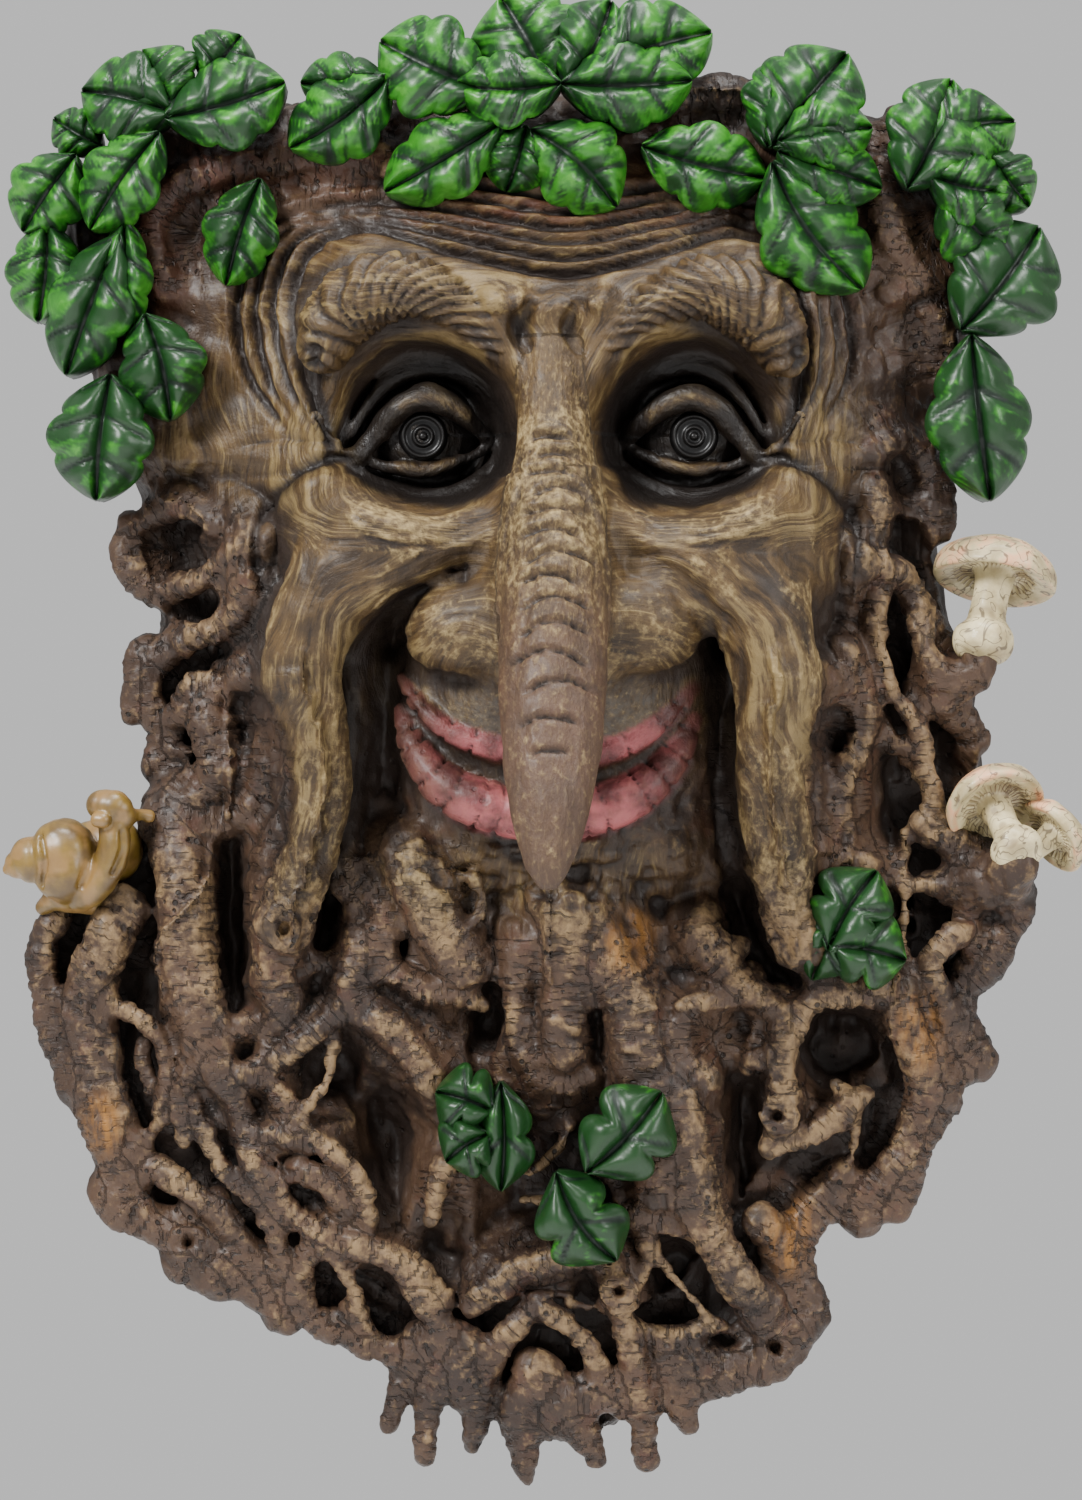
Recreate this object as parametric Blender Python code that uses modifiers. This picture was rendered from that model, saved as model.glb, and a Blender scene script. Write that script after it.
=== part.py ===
"""A green man wall plaque: one resin casting with a flat back, shown on the wall and facing -Y.

It is a bearded tree face under a wreath of oak leaves. Its beard is a tangle of roots, with two
groups of toadstools on one side and a sea snail on the other. A slanted pocket in the back takes a nail.
"""

import math

import bmesh
import bpy
import numpy as np
from mathutils import Vector

# Driving dimensions, in metres.
PLAQUE_HEIGHT = 0.300
NOSE_REACH = 0.084
EDGE_DEPTH = 0.013
BARK_DEPTH = 0.027
FACE_RISE = 0.013
LEAF_THICKNESS = 0.006
TOADSTOOL_CAP = 0.023
SNAIL_LENGTH = 0.028
POCKET_WIDTH = 0.014
POCKET_HEIGHT = 0.024
POCKET_DEPTH = 0.013
POCKET_TOP = 0.104

# The carving is drawn in units of a three-hundredth of the height, x across and z up.
# A unit is a millimetre on the real plaque.
UNIT = PLAQUE_HEIGHT / 300

VOXEL = 1.3 * UNIT
GRID_STEP = 1.5
STRAND_STEP = 2.5
MOST_TRIANGLES = 9800
BEHIND_WALL = 6.0

# The edge of the bark where it meets the wall, clockwise from the top left.
EDGE = [
    (-62, 127), (-30, 133), (0, 134), (35, 133), (64, 128), (80, 119), (87, 106), (85, 88),
    (81, 70), (80, 55), (79, 42), (81, 28), (86, 14), (88, 0), (88, -12), (94, -26), (94, -38),
    (87, -49), (86, -60), (79, -74), (72, -86), (56, -92), (50, -103), (46, -116), (33, -124),
    (22, -132), (6, -138), (-8, -134), (-20, -130), (-30, -124), (-44, -116), (-56, -108),
    (-68, -103), (-78, -95), (-86, -82), (-92, -66), (-97, -50), (-98, -36), (-86, -22),
    (-75, -11), (-76, 2), (-80, 12), (-76, 27), (-81, 40), (-80, 52), (-87, 64), (-91, 80),
    (-96, 97), (-94, 110), (-82, 124), (-70, 131),
]

# Root strands of the beard and the temples: the points they pass, and the radius at each end.
STRANDS = [
    # Left temple, and the strands beside the left cheek.
    ([(-83, 46), (-73, 49), (-65, 45)], (3.5, 3.0)),
    ([(-84, 41), (-81, 35), (-77, 31)], (4.0, 3.0)),
    ([(-57, 41), (-66, 35), (-77, 31)], (3.5, 3.5)),
    ([(-57, 34), (-63, 26), (-72, 22), (-79, 18)], (4.0, 3.0)),
    ([(-79, 20), (-79, 12), (-77, 2), (-74, -8)], (3.0, 2.5)),
    ([(-80, 19), (-83, 8)], (3.0, 2.0)),
    ([(-50, 29), (-56, 19), (-63, 14), (-70, 15), (-73, 7), (-77, -3)], (3.0, 2.5)),
    ([(-52, 8), (-55, 0), (-56, -8), (-61, -14), (-70, -14)], (3.5, 2.5)),
    ([(-67, 9), (-65, -2), (-68, -10)], (6.0, 6.0)),
    # Trunks under the left cheek.
    ([(-73, -15), (-72, -30), (-71, -45), (-66, -57)], (9.0, 7.0)),
    ([(-50, -18), (-52, -34), (-52, -52)], (6.5, 5.0)),
    ([(-84, -33), (-90, -45), (-91, -58), (-88, -72), (-84, -84)], (7.0, 6.0)),
    ([(-97, -32), (-100, -42), (-98, -56), (-94, -68)], (3.5, 3.0)),
    ([(-88, -50), (-80, -54), (-76, -62), (-77, -72)], (3.0, 2.0)),
    ([(-58, -54), (-66, -60), (-73, -68), (-72, -78)], (2.5, 2.5)),
    # The long diagonal root and the eye-shaped hollow that it frames.
    ([(-66, -60), (-61, -72), (-57, -83), (-51, -93), (-42, -98), (-30, -102), (-20, -110)], (4.0, 4.0)),
    ([(-58, -78), (-50, -77), (-42, -80), (-37, -86), (-35, -94)], (3.0, 3.0)),
    ([(-49, -85), (-44, -87), (-40, -92)], (4.0, 3.0)),
    ([(-63, -65), (-56, -66), (-51, -71), (-50, -76)], (2.5, 2.0)),
    ([(-71, -68), (-66, -80), (-58, -90), (-53, -101), (-51, -114)], (3.0, 3.0)),
    ([(-76, -84), (-66, -92), (-58, -102), (-53, -113)], (4.0, 3.5)),
    ([(-84, -82), (-84, -91), (-79, -96), (-70, -98), (-62, -104), (-58, -109)], (5.0, 3.5)),
    ([(-83, -90), (-88, -89)], (4.5, 3.5)),
    ([(-72, -102), (-66, -107)], (5.0, 4.0)),
    ([(-46, -100), (-49, -108), (-45, -115), (-36, -120), (-28, -121)], (3.0, 3.0)),
    ([(-44, -99), (-38, -108), (-35, -116)], (2.5, 2.0)),
    ([(-24, -108), (-20, -116), (-26, -120)], (4.0, 3.0)),
    # Root tips along the bottom edge.
    ([(-24, -118), (-28, -127), (-31, -136)], (4.5, 2.0)),
    ([(-20, -122), (-22, -133), (-23, -142)], (5.0, 2.0)),
    ([(-16, -120), (-13, -131), (-14, -140)], (6.0, 2.5)),
    ([(-3, -112), (-9, -120), (-13, -130)], (3.5, 3.0)),
    ([(0, -124), (-4, -136), (-2, -149)], (7.0, 3.5)),
    ([(0, -133), (9, -130), (18, -130)], (7.0, 4.5)),
    ([(6, -132), (11, -143)], (5.5, 2.5)),
    ([(14, -104), (17, -114), (20, -126), (22, -143)], (4.0, 3.0)),
    ([(0, -111), (8, -118), (12, -125), (17, -131)], (3.0, 3.0)),
    ([(26, -120), (28, -129), (29, -136)], (5.0, 2.5)),
    ([(30, -122), (37, -126)], (5.0, 3.0)),
    ([(50, -100), (53, -109), (56, -114)], (4.0, 2.5)),
    ([(-38, -112), (-43, -116)], (4.0, 2.5)),
    # The chin and the middle of the beard.
    ([(-40, -22), (-34, -28), (-31, -36), (-31, -43), (-23, -48), (-12, -50)], (3.0, 2.5)),
    ([(-26, -22), (-20, -34), (-14, -44)], (7.0, 5.0)),
    ([(-36, -38), (-37, -49), (-30, -56), (-22, -66)], (4.5, 4.0)),
    ([(-38, -50), (-45, -56), (-53, -62)], (3.0, 3.0)),
    ([(-3, -38), (-5, -52), (-3, -62), (3, -67), (9, -65)], (4.0, 2.5)),
    ([(6, -32), (5, -46), (4, -60)], (7.0, 6.0)),
    ([(-19, -84), (-22, -94)], (3.0, 2.5)),
    ([(-14, -111), (-7, -106), (1, -102), (10, -101)], (3.5, 3.0)),
    ([(12, -40), (19, -54), (22, -72), (24, -88)], (7.0, 7.0)),
    ([(27, -66), (29, -82), (33, -96), (42, -109), (50, -117)], (6.0, 5.5)),
    ([(50, -117), (49, -122), (42, -124), (34, -127)], (4.5, 4.0)),
    ([(20, -116), (27, -118), (33, -115)], (3.0, 2.5)),
    ([(44, -94), (50, -103), (55, -114)], (5.0, 2.5)),
    ([(32, -38), (40, -47), (48, -54), (48, -60), (42, -62)], (4.0, 3.0)),
    ([(37, -49), (29, -53), (28, -60), (33, -66)], (3.0, 2.5)),
    # Strands beside the right cheek.
    ([(66, 60), (74, 62), (80, 54), (80, 46)], (4.0, 4.0)),
    ([(66, 52), (68, 44)], (3.0, 2.5)),
    ([(64, 38), (72, 36), (77, 28), (80, 22), (87, 16)], (4.0, 3.0)),
    ([(68, 35), (67, 24), (70, 13), (75, 5), (78, -6), (78, -17)], (2.8, 2.5)),
    ([(78, 18), (82, 9), (88, 2)], (4.5, 3.5)),
    ([(60, 18), (64, 9), (64, 1), (60, -8), (59, -18)], (4.0, 3.0)),
    ([(46, 4), (44, -10), (46, -22)], (7.5, 6.0)),
    ([(45, -18), (48, -30), (50, -39), (56, -45), (64, -47), (72, -48)], (4.0, 3.5)),
    ([(50, -20), (58, -20), (64, -23)], (3.5, 3.0)),
    # The big root over the right-hand hollows, and the trunks and tips below it.
    ([(76, -15), (85, -20), (93, -25), (96, -32), (92, -40), (86, -46)], (5.0, 4.5)),
    ([(84, -36), (78, -44), (82, -53), (88, -62)], (3.5, 4.0)),
    ([(84, -52), (87, -62)], (4.5, 4.5)),
    ([(70, -49), (74, -58), (76, -68), (75, -78), (68, -88), (65, -95)], (5.0, 4.0)),
    ([(78, -60), (80, -70), (75, -82), (72, -92)], (5.0, 3.5)),
    ([(46, -79), (55, -76), (65, -70)], (3.5, 3.5)),
    ([(49, -55), (48, -66), (48, -77)], (3.5, 3.5)),
    ([(48, -58), (56, -49), (66, -49)], (3.0, 3.0)),
    ([(60, -88), (53, -96), (48, -103)], (5.0, 4.0)),
    # The twigs of the wreath.
    ([(-76, 92), (-78, 106), (-69, 115), (-56, 118), (-42, 119), (-26, 117)], (4.0, 6.0)),
    ([(22, 129), (36, 130), (50, 128)], (6.0, 5.0)),
    ([(73, 126), (69, 114), (70, 103), (76, 94), (81, 76)], (5.0, 4.0)),
    ([(70, 92), (80, 96), (93, 104)], (4.5, 4.0)),
]

# Hollows between the strands: centre, half width, half height, depth.
HOLLOWS = [
    (-80, -60, 5, 8, 9), (-45, -86, 8, 6, 6), (-33, -109, 5, 7, 9), (-43, -107, 3.5, 5, 7),
    (-31, -80, 6, 14, 9), (-42, -62, 6, 6, 7), (-26, -34, 5, 7, 8), (-10, -53, 4, 6, 7),
    (-60, -72, 4, 4, 4), (-66, -84, 6, 7, 7), (-62, -36, 3, 16, 9), (-43, -30, 3, 9, 7),
    (-64, 6, 5, 9, 6), (-57, 8, 3, 8, 5), (-75, 14, 2.5, 5, 6), (-70, 41, 5, 4, 5),
    (30, -106, 7, 9, 12), (59, -59, 8, 8, 15), (56, -84, 7, 8, 10), (42, -80, 4, 16, 10),
    (79, -31, 6, 7, 10), (54, -31, 4, 5, 7), (58, 3, 5, 8, 6), (72, 20, 3.5, 9, 6),
    (82, -2, 4, 8, 6), (70, -8, 4, 10, 6), (73, 56, 3, 6, 5), (40, -36, 4, 12, 8),
    (-2, -118, 4, 8, 7), (10, -110, 3, 6, 6), (-20, -98, 4, 12, 7), (48, -44, 5, 7, 8),
]

# Oak leaves: stalk end, tip, width, and how far the leaf stands off the bed below it.
LEAVES = [
    # Left side of the wreath.
    ((-88, 121), (-98, 127), 9, 3), ((-73, 127), (-92, 132), 16, 8), ((-74, 128), (-80, 140), 16, 6),
    ((-75, 126), (-51, 133), 16, 9), ((-67, 133), (-60, 143), 12, 4), ((-76, 123), (-90, 104), 14, 11),
    ((-93, 119), (-104, 104), 14, 7), ((-99, 106), (-101, 86), 14, 5), ((-84, 103), (-95, 75), 15, 10),
    ((-83, 106), (-84, 83), 10, 8), ((-79, 87), (-74, 66), 15, 8), ((-86, 75), (-89, 50), 18, 8),
    ((-56, 114), (-63, 93), 13, 4),
    # The middle.
    ((-30, 134), (-50, 120), 15, 8), ((-31, 134), (-48, 133), 11, 6), ((-11, 131), (-32, 141), 18, 10),
    ((-7, 125), (-31, 111), 14, 10),
    ((2, 131), (-8, 150), 20, 7), ((4, 132), (-17, 132), 13, 13), ((5, 131), (14, 149), 16, 9),
    ((9, 134), (34, 143), 17, 8), ((4, 132), (30, 133), 15, 12), ((-2, 123), (15, 108), 16, 11),
    ((-3, 124), (-7, 111), 12, 9), ((20, 120), (45, 114), 15, 8), ((46, 120), (61, 139), 19, 9),
    ((45, 120), (50, 138), 13, 6),
    ((47, 121), (66, 124), 13, 11), ((46, 117), (64, 92), 18, 8), ((47, 119), (68, 112), 12, 9),
    # Right side of the wreath.
    ((73, 112), (82, 134), 17, 9), ((76, 117), (95, 126), 15, 7), ((77, 115), (94, 112), 13, 9),
    ((80, 111), (93, 99), 14, 7), ((88, 119), (98, 109), 11, 5), ((84, 84), (100, 105), 20, 6),
    ((86, 83), (90, 50), 18, 6),
]

# Small lobed leaves lying on the beard.
BEARD_LEAVES = [
    ((57, -40), (67, -24), 15, 8), ((57, -38), (73, -42), 14, 7), ((60, -34), (54, -46), 10, 5),
    ((-9, -72), (-21, -68), 13, 9), ((-10, -76), (-19, -82), 12, 9), ((-8, -66), (-8, -88), 11, 7),
    ((9, -84), (24, -68), 17, 9), ((3, -84), (15, -102), 16, 8),
]


def smooth_path(points, step=STRAND_STEP):
    """Points at even steps on a Catmull-Rom curve through the given ones, in units."""
    knots = np.array([points[0], *points, points[-1]], float)
    knots[0] = 2 * knots[1] - knots[2]
    knots[-1] = 2 * knots[-2] - knots[-3]
    made = []
    for a, b, c, d in zip(knots, knots[1:], knots[2:], knots[3:]):
        count = max(2, round(float(np.linalg.norm(c - b)) / step))
        for t in np.arange(count) / count:
            square = (2 * a - 5 * b + 4 * c - d) * t**2
            cube = (3 * b - a - 3 * c + d) * t**3
            made.append(0.5 * (2 * b + (c - a) * t + square + cube))
    return np.array([*made, knots[-2]])


def distance_to(x, z, points, closed=False):
    """How far each (x, z) is from a line of points."""
    ends = np.roll(points, -1, axis=0) if closed else points[1:]
    nearest = np.full(np.shape(x), np.inf)
    for (ax, az), (bx, bz) in zip(points, ends):
        dx, dz = bx - ax, bz - az
        t = np.clip(((x - ax) * dx + (z - az) * dz) / (dx * dx + dz * dz + 1e-9), 0, 1)
        nearest = np.minimum(nearest, np.hypot(x - ax - t * dx, z - az - t * dz))
    return nearest


def inside(x, z, points):
    """Whether each (x, z) is inside a closed outline."""
    found = np.zeros(np.shape(x), bool)
    for (ax, az), (bx, bz) in zip(points, np.roll(points, -1, axis=0)):
        if az != bz:
            found ^= ((az > z) != (bz > z)) & (x < ax + (bx - ax) * (z - az) / (bz - az))
    return found


def mound(x, z, cx, cz, rx, rz, power=2.0):
    """1 at the centre and falling to 0 past the radii; a higher power gives a flatter top."""
    return np.exp(-((np.abs((x - cx) / rx) ** 2 + np.abs((z - cz) / rz) ** 2) ** (power / 2)))


def crest(x, z, points, width):
    """1 on a line of points and falling to 0 at about twice its width."""
    return np.exp(-((distance_to(x, z, smooth_path(points)) / width) ** 2))


def face(x, z):
    """Height that the face adds to the bark, in units."""
    rise = FACE_RISE / UNIT
    h = rise * mound(x, z, 3, 56, 56, 60, 5)
    for side, cx in ((-1, -23.5), (1, 29.5)):
        h -= 22 * mound(x, z, cx, 62, 16, 16.5, 6)
        h += 13 * mound(x, z, cx + side, 62.5, 10, 7, 3)
        h += 3 * crest(x, z, [(cx - 14, 60), (cx - 7, 67), (cx, 70), (cx + 7, 67), (cx + 14, 60)], 1.8)
        h += 2 * crest(x, z, [(cx - 11, 56), (cx, 53), (cx + 11, 56)], 1.8)
        h += 9 * mound(x, z, 3 + side * 43, 39, 16, 13, 3)
        h -= 10 * crest(x, z, [(3 + side * 33, 25), (3 + side * 34, 6), (3 + side * 35, -26)], 4.5)
    for rib in (96, 100, 104):
        fold = [(-38, rib + 4), (-18, rib + 2), (4, rib - 1), (24, rib + 1), (44, rib - 1)]
        h += 1.8 * crest(x, z, fold, 1.4)
    h += 3 * crest(x, z, [(-50, 104), (-54, 90), (-52, 75), (-44, 61)], 2.5)
    h += 3 * crest(x, z, [(50, 97), (56, 86), (56, 72), (51, 61)], 2.5)
    h += 5 * crest(x, z, [(-9, 89), (1, 88), (12, 89)], 3)
    h += 7 * mound(x, z, 0, -24, 26, 14, 3)
    h += 8 * mound(x, z, 3, 2, 28, 17, 4)
    return h


def bed(x, z):
    """The dome under the wreath and the beard, in units off the wall, with no edge."""
    deep = BARK_DEPTH / UNIT
    low = np.clip((-z - 60) / 85, 0, 1)
    return deep * (1 - 0.42 * np.abs(x / 100) ** 2.2 - 0.45 * low**1.5)


def bark(x, z):
    """Height of the bark and face off the wall, in units. It is below 0 outside the edge."""
    outline = np.array(EDGE, float)
    gap = distance_to(x, z, outline, closed=True)
    gap = np.where(inside(x, z, outline), gap, -gap)
    edge = EDGE_DEPTH / UNIT
    swell = np.sqrt(1 - (1 - np.clip(gap / 26, 0, 1)) ** 2)
    h = edge * 0.7 + (bed(x, z) - edge * 0.7) * swell + face(x, z) * np.clip(gap / 14, 0, 1)
    for cx, cz, rx, rz, deep in HOLLOWS:
        h -= deep * mound(x, z, cx, cz, rx, rz, 3)
    h = np.maximum(h, edge * 0.6)
    return np.where(gap > 0, h, np.maximum(h + gap * 8, -BEHIND_WALL / 2))


def new_mesh_object(name, bm):
    mesh = bpy.data.meshes.new(name)
    bmesh.ops.recalc_face_normals(bm, faces=bm.faces)
    bm.to_mesh(mesh)
    bm.free()
    obj = bpy.data.objects.new(name, mesh)
    shapes.objects.link(obj)
    return obj


def block_from_sheet(name, columns, rows, place, back):
    """A closed block: a grid whose points are placed by a function, and a copy of it further back."""
    bm = bmesh.new()
    bmesh.ops.create_grid(bm, x_segments=columns, y_segments=rows, size=1)
    sheet = np.array([v.co for v in bm.verts])
    front = place((sheet[:, 0] + 1) / 2, (sheet[:, 1] + 1) / 2)
    made = bmesh.ops.extrude_face_region(bm, geom=bm.faces[:])
    behind = [v for v in made["geom"] if isinstance(v, bmesh.types.BMVert)]
    copies = set(behind)
    kept = [v for v in bm.verts if v not in copies]
    for points, verts in ((front, kept), (back(front), behind)):
        for point, vert in zip(points, verts):
            vert.co = Vector(point) * UNIT
    return new_mesh_object(name, bm)


def make_bark():
    """The bark and face as one relief. It reaches behind the wall, where it is cut off flat."""
    x_low, x_high, z_low, z_high = -106, 106, -146, 142

    def place(u, v):
        x = x_low + (x_high - x_low) * u
        z = z_low + (z_high - z_low) * v
        return np.stack([x, -bark(x, z), z], axis=1)

    def back(front):
        return front * [1, 0, 1] + [0, BEHIND_WALL, 0]

    columns = round((x_high - x_low) / GRID_STEP)
    rows = round((z_high - z_low) / GRID_STEP)
    block_from_sheet("bark", columns, rows, place, back)


def tube(name, lines):
    """Round strands. Each line is points (x, y, z) in units and a radius for each point."""
    curve = bpy.data.curves.new(name, "CURVE")
    curve.dimensions = "3D"
    curve.bevel_depth = UNIT
    curve.bevel_resolution = 3
    curve.use_fill_caps = True
    for points, radii in lines:
        spline = curve.splines.new("POLY")
        spline.points.add(len(points) - 1)
        for knot, point, radius in zip(spline.points, points, radii):
            knot.co = (*(Vector(point) * UNIT), 1)
            knot.radius = radius
    obj = bpy.data.objects.new(name, curve)
    shapes.objects.link(obj)
    return obj


def make_strands():
    """The roots, each lying on the bark below it, and sinking where it meets the edge."""
    lines = []
    for points, (first, last) in STRANDS:
        path = smooth_path(points)
        x, z = path.T
        radii = np.linspace(first, last, len(path))
        floor = np.maximum(bark(x, z), EDGE_DEPTH / UNIT)
        height = np.convolve(np.pad(floor, 2, "edge"), np.ones(5) / 5, "valid")
        lines.append((np.stack([x, -height - 0.15 * radii, z], axis=1), radii))
    tube("strands", lines)


def make_nose():
    """The long root of a nose, which leans away from the wall towards its tip, and its two wings."""
    tip = NOSE_REACH / UNIT
    brow = (BARK_DEPTH + FACE_RISE) / UNIT
    tip_radius = 2.4
    profile = [(3, 84, 5.0), (3, 74, 6.8), (2.5, 60, 8.0), (2.5, 44, 10.0), (2.5, 26, 10.5),
               (2.5, 8, 10.4), (1.8, -8, 8.4), (1.4, -19, 5.4), (1.2, -25, tip_radius)]
    lean = (tip - tip_radius - brow + 2) / (profile[0][1] - profile[-1][1])
    lines = [[(x, z, brow - 2 + (profile[0][1] - z) * lean, radius) for x, z, radius in profile]]
    lines.append([(-22, 23, brow + 1, 6), (-15, 24, brow + 7, 8.5), (-6, 22, brow + 9, 8)])
    lines.append([(26, 23, brow + 1, 6), (19, 24, brow + 7, 9), (10, 22, brow + 9, 8)])
    lines.append([(2, 44, brow + 1, 12), (2, 28, brow + 6, 14), (2, 12, brow + 2, 11)])
    tube("nose", [path_and_radii(line) for line in lines])


def path_and_radii(line):
    """Points on a smooth curve through (x, z, height off the wall, radius), as a tube takes them."""
    x, z, out, radius = smooth_path(line).T
    return np.stack([x, -out, z], axis=1), radius


def make_folds():
    """The cheek folds, the brow wings and the lips, as (x, z, height over the face, radius)."""
    level = (BARK_DEPTH + FACE_RISE) / UNIT
    folds = [
        [(-9, 43, 4, 3), (-20, 39, 6, 4), (-31, 38, 7, 6), (-41, 31, 6, 8), (-45, 18, 3, 7.5),
         (-41, 5, 0, 6.5), (-40, -8, -2, 6), (-44, -22, -5, 6), (-50, -40, -9, 5)],
        [(14, 44, 4, 3), (23, 39, 6, 4), (32, 36, 7, 6), (41, 30, 6, 8), (43, 16, 3, 8),
         (42, 4, 0, 7.5), (43, -10, -3, 7), (47, -24, -7, 5.5), (50, -38, -10, 4)],
        [(-31, 15, -5, 1.5), (-24, 6, -2, 2.5), (-16, 1, 1, 3), (-4, -2, 3, 3), (8, -3, 3, 3),
         (18, -1, 1, 3), (26, 5, -2, 2.5), (33, 12, -5, 1.5)],
        [(-30, 11, -5, 2), (-26, 0, -2, 4), (-18, -8, 1, 4.5), (-6, -12, 3, 4.5), (8, -12, 3, 4.5),
         (19, -9, 1, 4.5), (27, -2, -2, 4), (31, 8, -5, 2)],
        [(-11, 82, 2, 2), (-17, 88.5, 4, 3.5), (-24, 93, 5, 4.2), (-31, 95, 5, 4.5), (-37, 93.5, 4, 4.8),
         (-42, 88.5, 2, 4.2), (-45, 80, 0, 2)],
        [(15, 82, 2, 2), (20, 88, 4, 3.5), (26, 92.5, 5, 4.2), (33, 94, 5, 4.5), (40, 92, 4, 4.8),
         (46, 87.5, 2, 4.2), (50, 80, 0, 2)],
    ]
    tube("folds", [path_and_radii([(x, z, level + up, r) for x, z, up, r in fold]) for fold in folds])


def leaf_half_width(t, width, lobes):
    """Half the width of an oak leaf at a share t of its length: broad past the middle, with round lobes."""
    body = np.sin(np.pi * np.clip(t, 0, 1) ** 1.1) ** 0.7
    return width / 2 * (0.10 + 1.0 * body) * (1 + 0.14 * np.cos(2 * np.pi * (lobes * t - 0.5)))


def make_leaf(name, stalk, tip, width, lift, lobes, thickness):
    """A leaf: a groove along its midrib, two full halves with ribs, and a tip that bends back to the wall."""
    start, end = np.array(stalk, float), np.array(tip, float)
    length = float(np.linalg.norm(end - start))
    along = (end - start) / length
    across = np.array([-along[1], along[0]])

    def place(u, v):
        side = 2 * u - 1
        half = leaf_half_width(v, width, lobes)
        flat = start + np.outer(v * length, along) + (side * half)[:, None] * across
        x, z = flat.T
        bow = 3.0 * np.sin(np.pi * v) - 3.5 * v**3
        halves = 2.6 * np.sin(np.pi * np.abs(side) ** 0.75) - 2.0 * side**4
        ribs = 0.8 * np.cos(2 * np.pi * (lobes * v - 0.8 * np.abs(side))) * np.abs(side)
        return np.stack([x, -(bed(x, z) + lift + bow + halves + ribs), z], axis=1)

    def back(front):
        return front + [0, thickness, 0]

    block_from_sheet(name, 12, 16, place, back)


def make_leaves():
    thick = LEAF_THICKNESS / UNIT
    for number, (stalk, tip, width, lift) in enumerate(LEAVES):
        make_leaf(f"leaf_{number:02d}", stalk, tip, width, lift, 3, thick + lift / 2)
    for number, (stalk, tip, width, lift) in enumerate(BEARD_LEAVES):
        make_leaf(f"beard_leaf_{number}", stalk, tip, width, lift, 2, thick + lift / 2)


def turned(name, profile, place, axis):
    """A turned shape: a profile of (radius, height) in units, stood at a place along an axis."""
    bm = bmesh.new()
    verts = [bm.verts.new((r * UNIT, 0, h * UNIT)) for r, h in profile]
    for a, b in zip(verts, verts[1:]):
        bm.edges.new((a, b))
    mesh = bpy.data.meshes.new(name)
    bm.to_mesh(mesh)
    bm.free()
    obj = bpy.data.objects.new(name, mesh)
    shapes.objects.link(obj)
    screw = obj.modifiers.new("turn", "SCREW")
    screw.steps = screw.render_steps = 24
    screw.use_merge_vertices = True
    screw.merge_threshold = 0.00001
    obj.location = Vector(place) * UNIT
    obj.rotation_euler = Vector(axis).to_track_quat("Z", "Y").to_euler()
    return obj


def toadstool_profile(cap):
    """Cap, gills, stalk and bulb, from the top of the cap down, for a cap of this diameter in units."""
    r = cap / 2
    dome = [(r * math.sin(a), r * 0.62 * math.cos(a)) for a in np.linspace(0, math.pi / 2, 7)]
    rolled = [(r * 0.97, -r * 0.14), (r * 0.80, -r * 0.10), (r * 0.40, r * 0.06)]
    stalk = [(r * 0.30, -r * 0.30), (r * 0.32, -r * 0.80), (r * 0.50, -r * 1.10)]
    bulb = [(r * 0.42, -r * 1.45), (0, -r * 1.55)]
    return [*dome, *rolled, *stalk, *bulb]


def make_toadstools():
    """Three toadstools growing outwards from the right-hand edge, seen from below their caps."""
    cap = TOADSTOOL_CAP / UNIT
    ground = EDGE_DEPTH / UNIT
    for name, (x, z), rise, axis, share in (
        ("toadstool_top", (88, 18.5), 8, (0.20, 0.40, 1.0), 1.06),
        ("toadstool_front", (96, -22), 16, (-0.35, 0.75, 0.75), 0.92),
        ("toadstool_back", (94.0, -24), 8, (0.75, 0.35, 0.55), 0.72),
    ):
        size = cap * share
        place = Vector((x, -ground - rise, z)) + Vector(axis).normalized() * size * 0.75
        turned(name, toadstool_profile(size), place, axis)


def make_snail():
    """A sea snail: whorls that shrink towards a point at the left, and a flared mouth at the right."""
    length = SNAIL_LENGTH / UNIT
    ground = EDGE_DEPTH / UNIT
    shares = np.linspace(0, 1, 25)[:-1]
    whorls = 0.42 * (1 - shares) ** 0.85 * (1 - 0.12 * np.abs(np.sin(3.5 * math.pi * shares)))
    spire = [(whorl * length, share * length * 0.95) for share, whorl in zip(shares, whorls)]
    profile = [(0, 0.96 * length), *spire[::-1], (0.25 * length, -0.16 * length), (0, -0.22 * length)]
    turned("snail_shell", profile, (-82, -ground - 9, -20), (-1.0, 0.15, -0.05))
    upper = [(-91, -9, ground + 13, 2.6), (-85, -12, ground + 15, 3.2), (-79, -16, ground + 12, 3)]
    lower = [(-99, -28, ground + 8, 3), (-91, -31, ground + 11, 4.5), (-83, -31, ground + 10, 4)]
    tube("snail_lips", [path_and_radii(upper), path_and_radii(lower)])


def gather(name):
    """Makes all the shapes so far into one object, each as its modifiers leave it."""
    bpy.context.view_layer.update()
    graph = bpy.context.evaluated_depsgraph_get()
    bm = bmesh.new()
    for obj in list(shapes.objects):
        mesh = bpy.data.meshes.new_from_object(obj.evaluated_get(graph))
        mesh.transform(obj.matrix_world)
        bm.from_mesh(mesh)
        bpy.data.meshes.remove(mesh)
        bpy.data.objects.remove(obj)
    bmesh.ops.remove_doubles(bm, verts=bm.verts, dist=UNIT / 1000)
    mesh = bpy.data.meshes.new(name)
    bm.to_mesh(mesh)
    bm.free()
    obj = bpy.data.objects.new(name, mesh)
    shapes.objects.link(obj)
    return obj


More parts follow.
